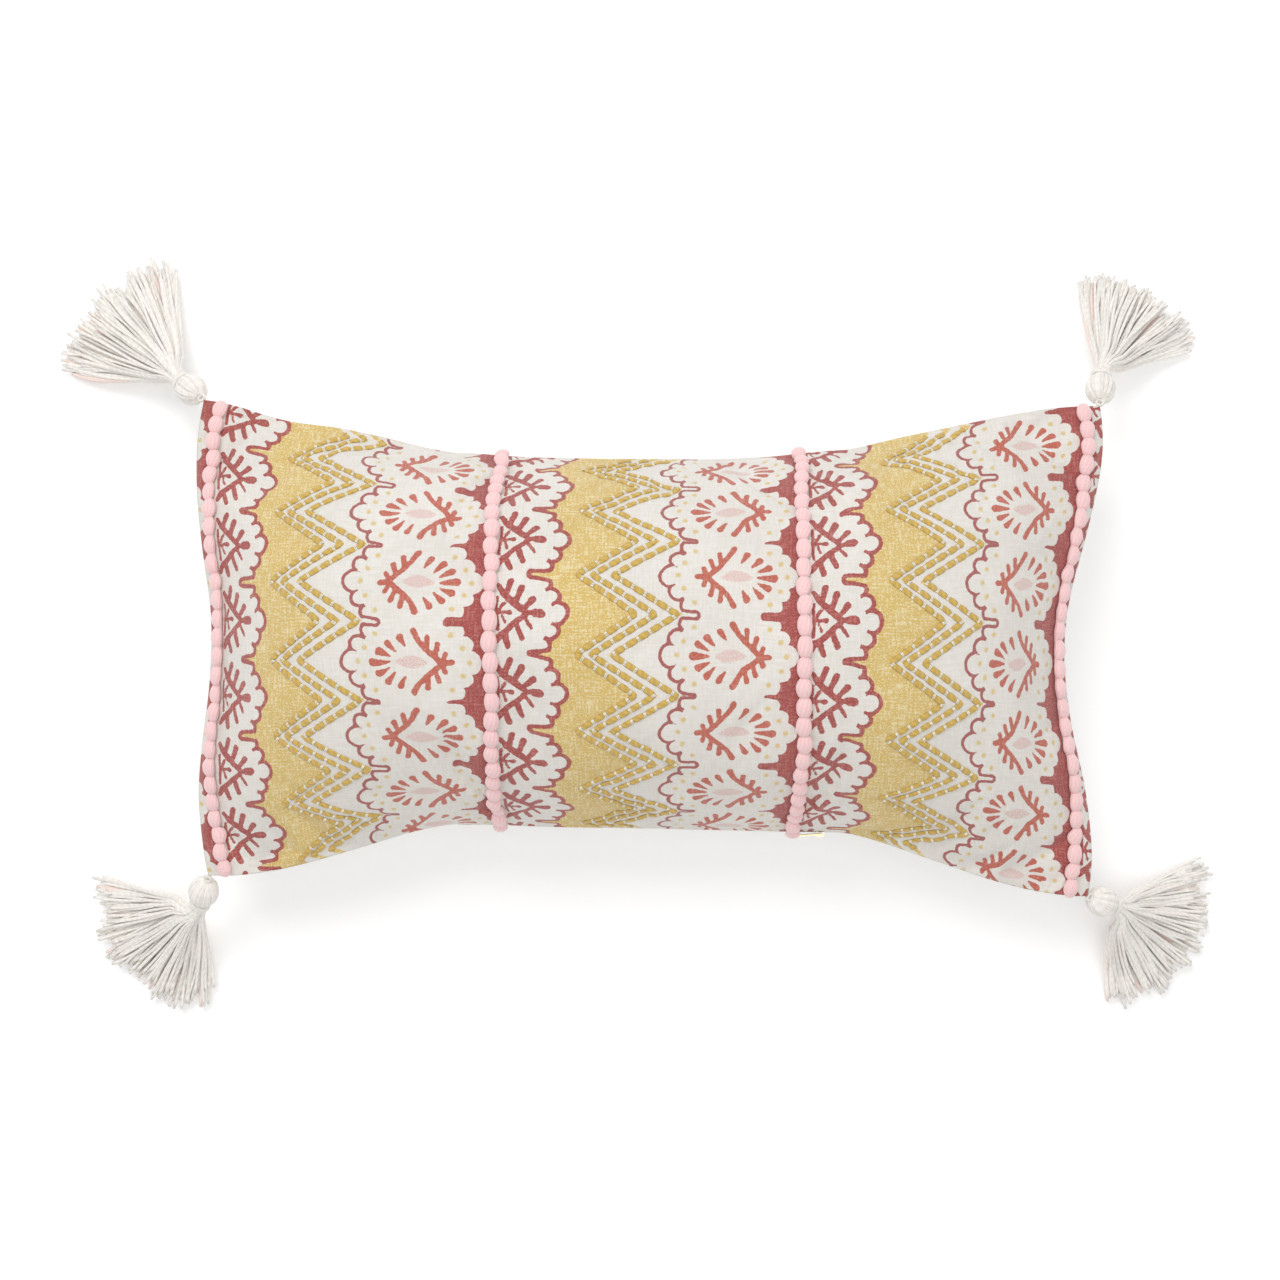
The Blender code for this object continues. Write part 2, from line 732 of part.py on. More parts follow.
def slider_rest():
    """Where the closed zip's slider stands along it: against the top stops."""
    return ZIP_LENGTH / 2 - STOP_LENGTH - CLEARANCE - SLIDER_LENGTH / 2


def make_zip_slider(root):
    """Two plates with the teeth between them, joined by a post, and a bail that comes out of the slit."""
    middle = slider_rest()
    carrier = new_carrier("zip_slide", seam_point(middle, 0.0, 0.0), root)
    half = SLIDER_LENGTH / 2
    tall = SLIDER_PLATE_HEIGHT / 2
    outer_plate = TEETH_INSET - CLEARANCE
    inner_plate = TEETH_INSET + TEETH_DEPTH + CLEARANCE
    leg = BAIL_OPENING / 2 + BAIL_WIRE
    thin = BAIL_WIRE / 2
    post = SLIDER_POST / 2
    arch_base = outer_plate - SLIDER_PLATE / 2
    post_end = inner_plate + SLIDER_PLATE / 2
    spans = [
        ((-half, outer_plate - SLIDER_PLATE, -tall), (half, outer_plate, tall)),
        ((-half, inner_plate, -tall), (half, inner_plate + SLIDER_PLATE, tall)),
        ((-thin, arch_base, -post), (thin, post_end, post)),
        ((-leg, -BAIL_REACH, -thin), (-leg + BAIL_WIRE, arch_base, thin)),
        ((leg - BAIL_WIRE, -BAIL_REACH, -thin), (leg, arch_base, thin)),
        ((thin - leg, -BAIL_REACH, -thin), (leg - thin, BAIL_WIRE - BAIL_REACH, thin)),
    ]
    shapes = []
    for lows, highs in spans:
        shapes.append(block((lows[0] + middle, *lows[1:]), (highs[0] + middle, *highs[1:])))
    united("zip_slider", shapes, brass_wire(), carrier)
    return carrier


def make_zip_pull(carrier):
    """A tab whose end bar lies under the bail. It points along the zip, away from the closed end's stops,
    and leans out a little, so that it clears the seam that bows out beyond the zip's open end."""
    inset = -BAIL_REACH + BAIL_WIRE + CLEARANCE + PULL_BAR / 2
    middle = slider_rest()
    place = seam_point(middle, inset, 0.0)
    hinge = new_carrier("zip_pull_flip", place, carrier)
    bar, half_width = PULL_BAR / 2, PULL_WIDTH / 2
    eye = BAIL_OPENING / 2 + BAIL_WIRE + 2 * CLEARANCE
    thin_rail, thin_tab = bar * 0.9, bar * 0.8
    tab_half_width = half_width * 0.96
    spans = [
        ((-bar, inset - bar, -half_width), (bar, inset + bar, half_width)),
        ((eye, inset - thin_tab, -tab_half_width), (PULL_LENGTH, inset + thin_tab, tab_half_width)),
    ]
    for low in (-half_width, half_width - PULL_RAIL):
        high = low + PULL_RAIL
        spans.append(((0.0, inset - thin_rail, low), (eye + PULL_RAIL, inset + thin_rail, high)))
    lean = Matrix.Rotation(PULL_LEAN, 3, "Z")
    shapes = []
    for lows, highs in spans:
        points, faces = block((middle - highs[0], *lows[1:]), (middle - lows[0], *highs[1:]))
        shapes.append(([place + lean @ (point - place) for point in points], faces))
    united("zip_pull", shapes, brass_wire(), hinge)


# ---------------------------------------------------------------- the whole


def centre_over_origin(root):
    """Moves the whole so that the middle of its bottom is at the origin."""
    bpy.context.view_layer.update()
    corners = []
    for solid in bpy.context.scene.collection.objects:
        if solid.type == "MESH":
            corners += [solid.matrix_world @ vertex.co for vertex in solid.data.vertices]
    lows = [min(corner[axis] for corner in corners) for axis in range(3)]
    highs = [max(corner[axis] for corner in corners) for axis in range(3)]
    middle = Vector(((lows[0] + highs[0]) / 2, (lows[1] + highs[1]) / 2, lows[2]))
    root.location -= middle
    bpy.context.view_layer.update()


def main():
    for old in list(bpy.data.objects):
        bpy.data.objects.remove(old)
    root = new_carrier("pillow", Vector((0.0, 0.0, 0.0)))
    make_cover(root)
    make_insert(root)
    make_trims(root)
    make_yarns(root)
    for name, tassel in TASSELS.items():
        make_tassel(name, tassel, root)
    make_zip_tapes(root)
    make_zip_teeth(root)
    make_zip_stops(root)
    make_zip_pull(make_zip_slider(root))
    centre_over_origin(root)


main()
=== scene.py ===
"""Looks of an oblong throw pillow: a printed cotton front and a plain back round a cased insert, bobble
trims, couched zigzag yarns, corner tassels of cut yarn and a concealed zip.

Lengths are in metres, and in millimetres in the print's own drawing. A place on a panel is given by shares
(a, b), from -1 to 1, of its flat half length and half width.
"""

import json
import math
import random

import bmesh
import bpy
import numpy as np
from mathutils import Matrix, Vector


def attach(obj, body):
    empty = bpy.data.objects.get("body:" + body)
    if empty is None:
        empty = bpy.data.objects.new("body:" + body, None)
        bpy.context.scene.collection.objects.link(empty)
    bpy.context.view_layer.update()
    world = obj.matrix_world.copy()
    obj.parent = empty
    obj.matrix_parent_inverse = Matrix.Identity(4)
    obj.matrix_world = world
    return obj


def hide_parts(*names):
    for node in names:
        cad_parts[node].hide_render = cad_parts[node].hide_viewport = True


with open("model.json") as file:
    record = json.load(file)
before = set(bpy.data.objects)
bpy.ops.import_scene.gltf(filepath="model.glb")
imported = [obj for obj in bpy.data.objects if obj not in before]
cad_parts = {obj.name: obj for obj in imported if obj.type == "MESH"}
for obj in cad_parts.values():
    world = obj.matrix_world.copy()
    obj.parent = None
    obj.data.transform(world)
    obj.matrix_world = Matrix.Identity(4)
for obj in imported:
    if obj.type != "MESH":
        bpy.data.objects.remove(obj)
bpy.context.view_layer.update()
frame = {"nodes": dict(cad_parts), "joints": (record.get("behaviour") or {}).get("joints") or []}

# The cover as it is cut, and the shape that the filling gives it
COVER_LENGTH = 0.560
COVER_WIDTH = 0.306
HALF_LENGTH = COVER_LENGTH / 2
HALF_WIDTH = COVER_WIDTH / 2
PLUMP_ANGLE = math.radians(72.0)
STRAIGHT_MIDDLE = 0.236
TAPER_POWER = 1.4
BACK_FLATTENING = 0.012
CORNER_DROOP = 0.014
CORNER_SHIFTS = {
    (-1, 1): (0.002, -0.003),
    (1, 1): (0.004, -0.008),
    (-1, -1): (0.005, 0.009),
    (1, -1): (-0.004, -0.004),
}
CROWN_STRETCH = 0.055
CROWN_SHIFT = -0.0015
END_SHIFTS = (-0.0218, 0.0073)
SIDE_SWELLS = ((0.47, 0.0130, 0.20), (-0.45, 0.0045, 0.15), (-0.80, -0.0080, 0.13))
GROUND_GAP = 0.0003
SEAM_GAP = 0.0003
LIP = 0.00115
SEAM_HEIGHT = HALF_WIDTH / PLUMP_ANGLE * (1 - math.cos(PLUMP_ANGLE)) + LIP - BACK_FLATTENING
ZIP_LENGTH = 0.226
ZIP_SLIT = 0.0026
ZIP_FADE = 0.006

# The cloth's grids, its simulation, and how far that may move it, less so towards the ends
PANEL_GRIDS = {1: (561, 307), -1: (281, 155)}
COARSE_GRID = (113, 63)
BLOWN_FRAMES = 20
COTTON = {
    "quality": 6,
    "mass": 0.2,
    "tension_stiffness": 12,
    "compression_stiffness": 12,
    "shear_stiffness": 6,
    "bending_stiffness": 0.35,
    "shrink_min": -0.016,
    "use_pressure": True,
    "uniform_pressure_force": 4.0,
}
MOST_MOVE = 0.009
STEADY_FROM = 0.70
STEADY_SPREAD = 0.22
STEADY_SHARE = 0.85

# The edge turns in by steps (inset, share of the lip) to close the seam. Over the zip's tapes the cloth may
# sink only by TAPE_COVER. The insert reaches so far, in shares, and lies so deep under the cloth
SEAM_TURN = ((0.0003, 0.40), (0.0010, 0.80), (0.0022, 0.96))
TAPE_LENGTH = 0.230
TAPE_WIDTH = 0.014
TAPE_COVER = 0.0005
TAPE_FADE = 0.012
INSERT_GRID = (71, 41)
INSERT_REACH = (0.93, 0.90)
INSERT_DEPTH = 0.0035

# Trims, yarns and the print's repeat
TRIM_COUNT = 4
TRIM_INSET = 0.012
TRIM_LINES = [(HALF_LENGTH - TRIM_INSET) * (2 * n / (TRIM_COUNT - 1) - 1) for n in range(TRIM_COUNT)]
REPEAT = TRIM_LINES[1] - TRIM_LINES[0]
BOBBLE_PITCH = 0.0115
BOBBLE_WIDTH = 0.0092
BOBBLE_HEIGHT = 0.0062
BOBBLE_RINGS = 14
BOBBLE_SIDES = 36
BOBBLE_WAIST = 0.46
BOBBLE_RIBS = 11
RIB_DEPTH = 0.016
RIB_TWIST = 0.009
TRIM_HEM = 0.0006
YARN_ROWS = ((0.273, 0.460), (0.320, 0.523), (0.386, 0.595))
ZIGZAG_PERIOD = 0.0455
ZIGZAG_PHASES = (-0.0122, -0.0062, -0.0082)
YARN_HALF_WIDTH = 0.0019
YARN_HALF_HEIGHT = 0.00075
YARN_HEM = 0.0035
YARN_SINK = 0.00035
STITCH_PITCH = 0.0080
STITCH_PINCH = 0.34
THREAD_SPACING = 0.0004

# Tassels. A fan is its heading and half angle in degrees, its length and its number of strands
TASSEL_TILT = math.radians(38.0)
LOOP_REACH = 0.0050
HEAD_RADIUS = 0.010
NECK_RADIUS = 0.0058
STRAND_RADIUS = 0.00092
SKIRT_THICKNESS = 0.014
SKIRT_REST = 0.0055
HEAD_STRANDS = 34
FANS = {
    "top_left": (136.5, 38.0, 0.097, 230),
    "top_right": (59.0, 40.0, 0.084, 210),
    "bottom_left": (222.0, 50.0, 0.087, 240),
    "bottom_right": (328.0, 57.0, 0.083, 250),
}

chance = random.Random(7)


# ---- the pillow's shape


def smoothstep(value):
    value = np.clip(value, 0, 1)
    return value * value * (3 - 2 * value)


def unit(vectors):
    return vectors / np.maximum(np.linalg.norm(vectors, axis=-1, keepdims=True), 1e-12)


def summed(steps):
    return np.concatenate([[0.0], np.cumsum(steps)])


def linked(name, data):
    made = bpy.data.objects.new(name, data)
    bpy.context.scene.collection.objects.link(made)
    return made


def even_surface(shares_a, shares_b):
    """The even pillow's upper half over its seam plane, as a grid of points."""
    steps = 400
    table_a = np.linspace(0, 1, steps + 1)

    def section(a, b):
        straight = STRAIGHT_MIDDLE / COVER_LENGTH
        past = np.clip((np.abs(a) - straight) / (1 - straight), 0, 1)
        angle = np.maximum(PLUMP_ANGLE * (1 - past**TAPER_POWER), 1e-4)
        radius = HALF_WIDTH / angle
        turned = angle * (b + CROWN_STRETCH * b * (1 - b**2))
        return radius * np.sin(turned), radius * (np.cos(turned) - np.cos(angle))

    across, rise = section(table_a[:, None], shares_b[None, :])
    step = HALF_LENGTH / steps
    sideways, upward = np.diff(across, axis=0) ** 2, np.diff(rise, axis=0) ** 2
    along = np.sqrt(np.maximum(step**2 - sideways - upward, step**2 / 100))
    along = np.concatenate([np.zeros((1, len(shares_b))), np.cumsum(along, axis=0)])
    x = np.stack([np.sign(shares_a) * np.interp(np.abs(shares_a), table_a, line) for line in along.T], 1)
    y, z = section(shares_a[:, None], shares_b[None, :])
    return np.stack([x, y, z], -1)


def settled(points):
    """Where points of the even pillow, measured from its seam plane, come to lie."""
    along = np.clip(points[..., 0] / HALF_LENGTH, -1, 1)
    across = np.clip(points[..., 1] / HALF_WIDTH, -1, 1)
    moved = points.copy()
    moved[..., 2] += SEAM_HEIGHT - CORNER_DROOP * along**4 * across**2
    for (side_x, side_y), (shift_x, shift_y) in CORNER_SHIFTS.items():
        weight = (1 + side_x * along) * (1 + side_y * across) / 4
        moved[..., 0] += weight * shift_x
        moved[..., 1] += weight * shift_y
    crown = CROWN_SHIFT + np.where(along > 0, END_SHIFTS[1], END_SHIFTS[0]) * along**2
    moved[..., 0] += crown * (1 - across**2) ** 2
    for place, reach, spread in SIDE_SWELLS:
        moved[..., 1] += reach * np.exp(-(((along - place) / spread) ** 2)) * np.maximum(0, across) ** 2
    return moved


def pillow_shift():
    """The pillow's own origin in the frame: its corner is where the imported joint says."""
    corner = settled(even_surface(np.array([-1.0]), np.array([1.0])))[0, 0]
    joint = next(j for j in frame["joints"] if j["name"] == "tassel_top_left_swing")
    return np.array([joint["pos_m"][0] - corner[0], joint["pos_m"][1] - corner[1], 0.0])


SHIFT = pillow_shift()


def panel_surface(shares_a, shares_b, side):
    """The outer face of the front (side 1) or the back (side -1) before it is simulated."""
    points = even_surface(shares_a, shares_b)
    past_end = np.maximum(0, np.abs(shares_a) - ZIP_LENGTH / COVER_LENGTH) / (ZIP_FADE / HALF_LENGTH)
    opening = np.maximum(0, 1 - past_end)[:, None] * np.maximum(0, -shares_b)[None, :] ** 12
    points[..., 2] = (points[..., 2] + LIP + opening * (ZIP_SLIT - SEAM_GAP) / 2) * side
    points = settled(points)
    if side < 0:
        points[..., 2] = np.maximum(points[..., 2], GROUND_GAP)
    return points + SHIFT


def grid_quads(rows, columns, start=0, flip=False):
    here = (np.arange(rows - 1)[:, None] * columns + np.arange(columns - 1)[None, :]).ravel() + start
    quads = np.stack([here, here + columns, here + columns + 1, here + 1], 1)
    return quads[:, ::-1] if flip else quads


def inflate(front, back):
    """How far each point of the two coarse panels moves when they are sewn as cloth and blown up."""
    rows, columns = front.shape[:2]
    count = rows * columns
    index = np.arange(count).reshape(rows, columns)
    edge = np.ones((rows, columns), bool)
    edge[1:-1, 1:-1] = False
    back_index = np.where(edge, index, 0)
    back_index[~edge] = count + np.arange((~edge).sum())
    seam = (front + back) / 2
    points = np.concatenate([np.where(edge[..., None], seam, front).reshape(-1, 3), back[~edge]])
    quads = grid_quads(rows, columns)
    faces = np.concatenate([quads, back_index.ravel()[quads][:, ::-1]])
    mesh = bpy.data.meshes.new("sim")
    mesh.from_pydata(points.tolist(), [], faces.tolist())
    cloth = linked("sim", mesh)
    pins = cloth.vertex_groups.new(name="pins")
    pins.add(index[edge].tolist(), 1.0, "REPLACE")
    modifier = cloth.modifiers.new("cloth", "CLOTH")
    for key, value in COTTON.items():
        setattr(modifier.settings, key, value)
    modifier.settings.effector_weights.gravity = 0.0
    modifier.settings.vertex_group_mass = "pins"
    scene = bpy.context.scene
    for number in range(BLOWN_FRAMES):
        scene.frame_set(number + 1)
    graph = bpy.context.evaluated_depsgraph_get()
    moved = np.empty(len(points) * 3)
    cloth.evaluated_get(graph).data.vertices.foreach_get("co", moved)
    move = moved.reshape(-1, 3) - points
    cloth.modifiers.clear()
    bpy.data.objects.remove(cloth)
    scene.frame_set(1)
    length = np.linalg.norm(move, axis=1, keepdims=True)
    move *= MOST_MOVE * np.tanh(length / MOST_MOVE) / np.maximum(length, 1e-9)
    to_end = (np.abs(np.linspace(-1, 1, rows)) - STEADY_FROM) / STEADY_SPREAD
    steady = 1 - STEADY_SHARE * smoothstep(to_end)
    move_front, move_back = move[index], move[back_index]
    for panel in (move_front, move_back):
        panel[..., 0] *= steady[:, None]
    return move_front, move_back


def smooth_weights(coarse, fine):
    """Catmull-Rom weights that take values at even steps on to finer even steps."""
    place = np.linspace(0, coarse - 1, fine)
    base = np.clip(np.floor(place).astype(int), 0, coarse - 2)
    t = place - base
    weights = np.zeros((fine, coarse))
    parts = (
        -0.5 * t + t**2 - 0.5 * t**3,
        1 - 2.5 * t**2 + 1.5 * t**3,
        0.5 * t + 2 * t**2 - 1.5 * t**3,
        -0.5 * t**2 + 0.5 * t**3,
    )
    for offset, part in zip((-1, 0, 1, 2), parts):
        np.add.at(weights, (np.arange(fine), np.clip(base + offset, 0, coarse - 1)), part)
    return weights


def ripples(shares_a, shares_b, seed):
    """Small puckers where the seams gather the cloth, as heights over it."""
    a, b = np.meshgrid(shares_a * HALF_LENGTH, shares_b * HALF_WIDTH, indexing="ij")
    to_side = HALF_WIDTH - np.abs(b)
    to_end = HALF_LENGTH - np.abs(a)
    wave = np.sin(a / 0.0021 + 2.2 * np.sin(a / 0.031 + seed) + seed)
    wave *= 0.6 + 0.4 * np.sin(a / 0.047 + 2 * seed)
    side = wave * np.exp(-to_side / 0.007) * (1 - np.exp(-to_side / 0.0012))
    wave = np.sin(b / 0.0023 + 2.0 * np.sin(b / 0.027 + seed)) * (0.6 + 0.4 * np.sin(b / 0.039 + seed))
    end = wave * np.exp(-to_end / 0.008) * (1 - np.exp(-to_end / 0.0012))
    broad = np.sin(a / 0.017 + 1.7 * np.sin(b / 0.023 + seed)) * np.sin(b / 0.021 + 1.3 * np.sin(a / 0.029))
    return 0.00055 * side + 0.0007 * end + 0.0004 * broad


class Panel:
    """One panel of the cover: a fine grid of its outer face after the cloth is blown up."""

    def __init__(self, side, rows, columns):
        self.side = side
        self.shares_a = np.linspace(-1, 1, rows)
        self.shares_b = np.linspace(-1, 1, columns)
        self.points = panel_surface(self.shares_a, self.shares_b, side)

    def move(self, coarse):
        across = smooth_weights(coarse.shape[1], len(self.shares_b))
        along = smooth_weights(coarse.shape[0], len(self.shares_a))
        self.points = self.points + np.einsum("ia,abk,jb->ijk", along, coarse, across)

    def finish(self, seed):
        self.normals = self.find_normals()
        self.points = self.points + self.normals * ripples(self.shares_a, self.shares_b, seed)[..., None]
        self.lie_on_zip()
        if self.side < 0:
            self.points[..., 2] = np.maximum(self.points[..., 2], GROUND_GAP)
        self.normals = self.find_normals()

    def lie_on_zip(self):
        """Lifts the cloth where it has sunk into the tape sewn under its edge."""
        designed = panel_surface(self.shares_a, self.shares_b, self.side)
        sunk = np.einsum("ijk,ijk->ij", designed - self.points, self.normals)
        past_end = np.abs(self.shares_a) * HALF_LENGTH - TAPE_LENGTH / 2
        past_side = (self.shares_b + 1) * HALF_WIDTH - TAPE_WIDTH
        over = (1 - smoothstep(past_end / TAPE_FADE))[:, None] * (1 - smoothstep(past_side / TAPE_FADE))
        self.points = self.points + self.normals * (np.maximum(sunk - TAPE_COVER, 0) * over)[..., None]

    def find_normals(self):
        along = np.gradient(self.points, axis=0)
        across = np.gradient(self.points, axis=1)
        return unit(np.cross(along, across) * self.side)

    def at(self, x, y, height=0.0):
        """World points over flat places x, y, in metres from the panel's middle, with their normals."""
        a = (np.clip(np.asarray(x, float) / HALF_LENGTH, -1, 1) + 1) / 2 * (len(self.shares_a) - 1)
        b = (np.clip(np.asarray(y, float) / HALF_WIDTH, -1, 1) + 1) / 2 * (len(self.shares_b) - 1)
        i = np.clip(a.astype(int), 0, len(self.shares_a) - 2)
        j = np.clip(b.astype(int), 0, len(self.shares_b) - 2)
        s, t = (a - i)[..., None], (b - j)[..., None]

        def mixed(grid):
            near = grid[i, j] * (1 - s) + grid[i + 1, j] * s
            far = grid[i, j + 1] * (1 - s) + grid[i + 1, j + 1] * s
            return near * (1 - t) + far * t

        normal = unit(mixed(self.normals))
        return mixed(self.points) + normal * np.asarray(height)[..., None], normal


def make_panels():
    front, back = (Panel(side, *grid) for side, grid in PANEL_GRIDS.items())
    shares = [np.linspace(-1, 1, lines) for lines in COARSE_GRID]
    move_front, move_back = inflate(panel_surface(*shares, 1), panel_surface(*shares, -1))
    front.move(move_front)
    back.move(move_back)
    front.finish(1.3)
    back.finish(4.1)
    return front, back


# ---- the print, drawn in millimetres


def disc(x, y, centre_x, centre_y, radius):
    return np.hypot(x - centre_x, y - centre_y) - radius


def capsule(x, y, start, end, start_radius, end_radius):
    dx, dy = end[0] - start[0], end[1] - start[1]
    t = np.clip(((x - start[0]) * dx + (y - start[1]) * dy) / (dx * dx + dy * dy), 0, 1)
    radius = start_radius + (end_radius - start_radius) * t
    return np.hypot(x - start[0] - t * dx, y - start[1] - t * dy) - radius


def stroke(x, y, places, radii):
    """The distance to a brush stroke through places, with its half width at each."""
    found = None
    for start, end, start_radius, end_radius in zip(places, places[1:], radii, radii[1:]):
        piece = capsule(x, y, start, end, start_radius, end_radius)
        found = piece if found is None else np.minimum(found, piece)
    return found


def union(*distances):
    return np.minimum.reduce(distances)


# Brush strokes, as places along each and its half width there, from a repeat's left trim and from the motif's
# own middle line. A palmette's two halves differ; a medallion's are alike, so only one is drawn
PALMETTE = (
    (((25.3, 0), (28.3, 0)), (2.4, 2.8)),
    (((20.6, 0), (25, 0)), (1.6, 1.2)),
    (((20.7, 0.2), (16.8, 3.4), (12.5, 7.2), (7.7, 11.5), (4.8, 16.3)), (1.6, 1.9, 2, 1.9, 1.5)),
    (((19.2, 2.4), (22, 5), (24.6, 8.3)), (1.3, 1.6, 2)),
    (((14.4, 5.8), (16.6, 10.6), (18.2, 14.5)), (1.5, 1.8, 2)),
    (((9.1, 10.6), (10.8, 15.4), (11.9, 18.5)), (1.5, 1.8, 1.9)),
    (((20.7, -0.6), (15.9, -4.8), (10.1, -9.6), (6.2, -12.7), (4, -16.2)), (1.5, 1.6, 1.8, 2, 1.7)),
    (((20, -2.6), (22.6, -6.4), (24, -8.6)), (1, 1.2, 0.9)),
    (((15, -5.6), (16.4, -10.4), (18.3, -14.8)), (1.5, 1.7, 1.6)),
    (((8.7, -11.5), (9.8, -15.9), (10.8, -18.8)), (1.6, 1.8, 1.7)),
    (((5.6, 0), (9.6, 0.2), (11.9, 0)), (0.8, 0.9, 1.7)),
    (((6.2, 1), (7.4, 3.4), (8.7, 5.5)), (0.8, 1, 1.1)),
    (((7.4, -0.8), (8, -3), (9.1, -5.4)), (0.7, 0.7, 0.9)),
    (((4.9, -9), (4.6, 0), (4.7, 9)), (1, 0.9, 1)),
)

MEDALLION = (
    (((153.2, 0), (149, 4.3), (144.4, 8), (141, 12), (138, 17.6)), (1.5, 1.6, 1.5, 1.5, 1.9)),
    (((153, 0), (158.6, 0)), (1.4, 1.7)),
    (((153.4, 0.6), (155.2, 4.9)), (1.2, 1.5)),
    (((149.6, 4.2), (151.4, 10.4)), (1.2, 1.6)),
    (((145.4, 8), (145.9, 14.2)), (1.2, 1.6)),
    (((124.4, 0), (115.3, 0)), (0.7, 2.5)),
    (((124.6, 3.2), (118.3, 6.3)), (0.6, 2.2)),
    (((127.8, 6), (123.2, 10.8)), (0.6, 2.1)),
    (((133.6, 8.6), (130.4, 13.6)), (0.6, 2)),
)

# A scalloped edge's lobes, as place along the repeat, distance from the motif's middle line and radius, and
# where the edge lies between two motifs
CORAL_LOBES = ((37.7, 0, 6.1), (34.2, 9.8, 4.8), (30.2, 17.6, 4.3)), 30.5
GOLD_LOBES = ((102.5, 0, 6.4), (106.3, 9.6, 4.9), (111.9, 17.6, 4.4)), 111.0
BAND_LOBES = ((168.8, 0, 6.6), (165.6, 9.6, 4.9), (161.0, 17.2, 4.5)), 160.5
DOTS = ((106.3, 0), (109.9, 8.0), (115.9, 15.9), (168.6, 0), (165.0, 7.9), (158.6, 15.5))
DOT_RADIUS = 1.5
MEDALLION_MIDDLE = 138.1
LENS_MIDDLE = 136.5
LENS_OFFSET = 10.9
LENS_RADIUS = 14.4
LINE_HALF = 1.3
NO_BAND = 9.0


def strokes(x, y, drawn):
    return union(*(stroke(x, y, places, radii) for places, radii in drawn))


def scallops(x, across, lobes, side):
    """The distance to a scalloped edge, whose inside is on its left (side 1) or on its right (side -1)."""
    discs, between = lobes
    places, offsets, _ = zip(*discs)
    line = np.interp(across, (*offsets, ZIGZAG_PERIOD * 500), (*places, between))
    return union(*(disc(x, across, *lobe) for lobe in discs), (x - line) * side)


def print_distances(flat_x, flat_y):
    """Signed distances to the edges of each printed area, negative inside, for flat places in mm."""
    repeat, period = REPEAT * 1000, ZIGZAG_PERIOD * 1000
    x = flat_x + 0.40 * np.sin(flat_y / 5.3 + 1.1) * np.sin(flat_x / 11.0)
    x += 0.25 * np.sin(flat_y / 2.9 + flat_x / 4.7)
    y = flat_y + 0.35 * np.sin(flat_x / 4.9 + 0.6) + 0.25 * np.sin(flat_x / 2.6 + flat_y / 3.7)
    gap = np.floor((x - TRIM_LINES[0] * 1000) / repeat)
    x = (x - TRIM_LINES[0] * 1000) % repeat
    y = y - 1000 * np.take(ZIGZAG_PHASES, np.clip(gap, 0, len(ZIGZAG_PHASES) - 1).astype(int))
    number = np.floor(y / period + 0.5)
    signed = y - number * period
    odd = (number % 2).astype(bool)
    from_medallion = np.abs(signed)
    from_palmette = period / 2 - from_medallion
    turn = (np.floor(y / period) % 2).astype(bool)

    notch = capsule(x, from_medallion, (23.3, 0), (37.0, 0), np.where(odd, 1.9, 0.7), 3.4)
    left_edge = np.maximum(scallops(x, from_palmette, CORAL_LOBES, 1), -notch)

    finger = capsule(x, from_palmette, (100.0, 0), (116.3, 0), 2.6, np.where(turn, 0.8, 1.9))
    middle_edge = np.maximum(scallops(x, from_medallion, GOLD_LOBES, -1), -finger)

    finger = capsule(x, from_palmette, (156.3, 0), (176.0, 0), np.where(turn, 0.8, 2.6), 3.2)
    band = np.minimum(-scallops(x, from_medallion, BAND_LOBES, 1), finger)
    band = np.where(x < repeat / 2, NO_BAND, band)

    mirrored = np.where(odd, 2 * MEDALLION_MIDDLE - x, x)
    dots = union(*(disc(x, from_medallion, *place, DOT_RADIUS) for place in DOTS))
    arcs = [np.hypot(mirrored - LENS_MIDDLE, from_medallion + LENS_OFFSET * way) for way in (1, -1)]

    zig = from_medallion / (period / 2)
    lines = []
    for left, right in YARN_ROWS:
        rise = (right - left) * repeat
        lean = 1 / math.hypot(1, rise / (period / 2))
        lines.append((x - left * repeat - rise * zig) * lean)
    thin_lines = np.minimum(np.abs(lines[1]), np.abs(lines[2])) - LINE_HALF
    gold = np.minimum(np.maximum(-left_edge, lines[0]), thin_lines)
    return {
        "gold": gold,
        "left_edge": left_edge,
        "middle_edge": middle_edge,
        "band": band,
        "leaf": strokes(x, y % period - period / 2, PALMETTE),
        "coral": strokes(mirrored, from_medallion, MEDALLION),
        "lens": np.maximum(*arcs) - LENS_RADIUS,
        "dots": dots,
    }


# ---- materials


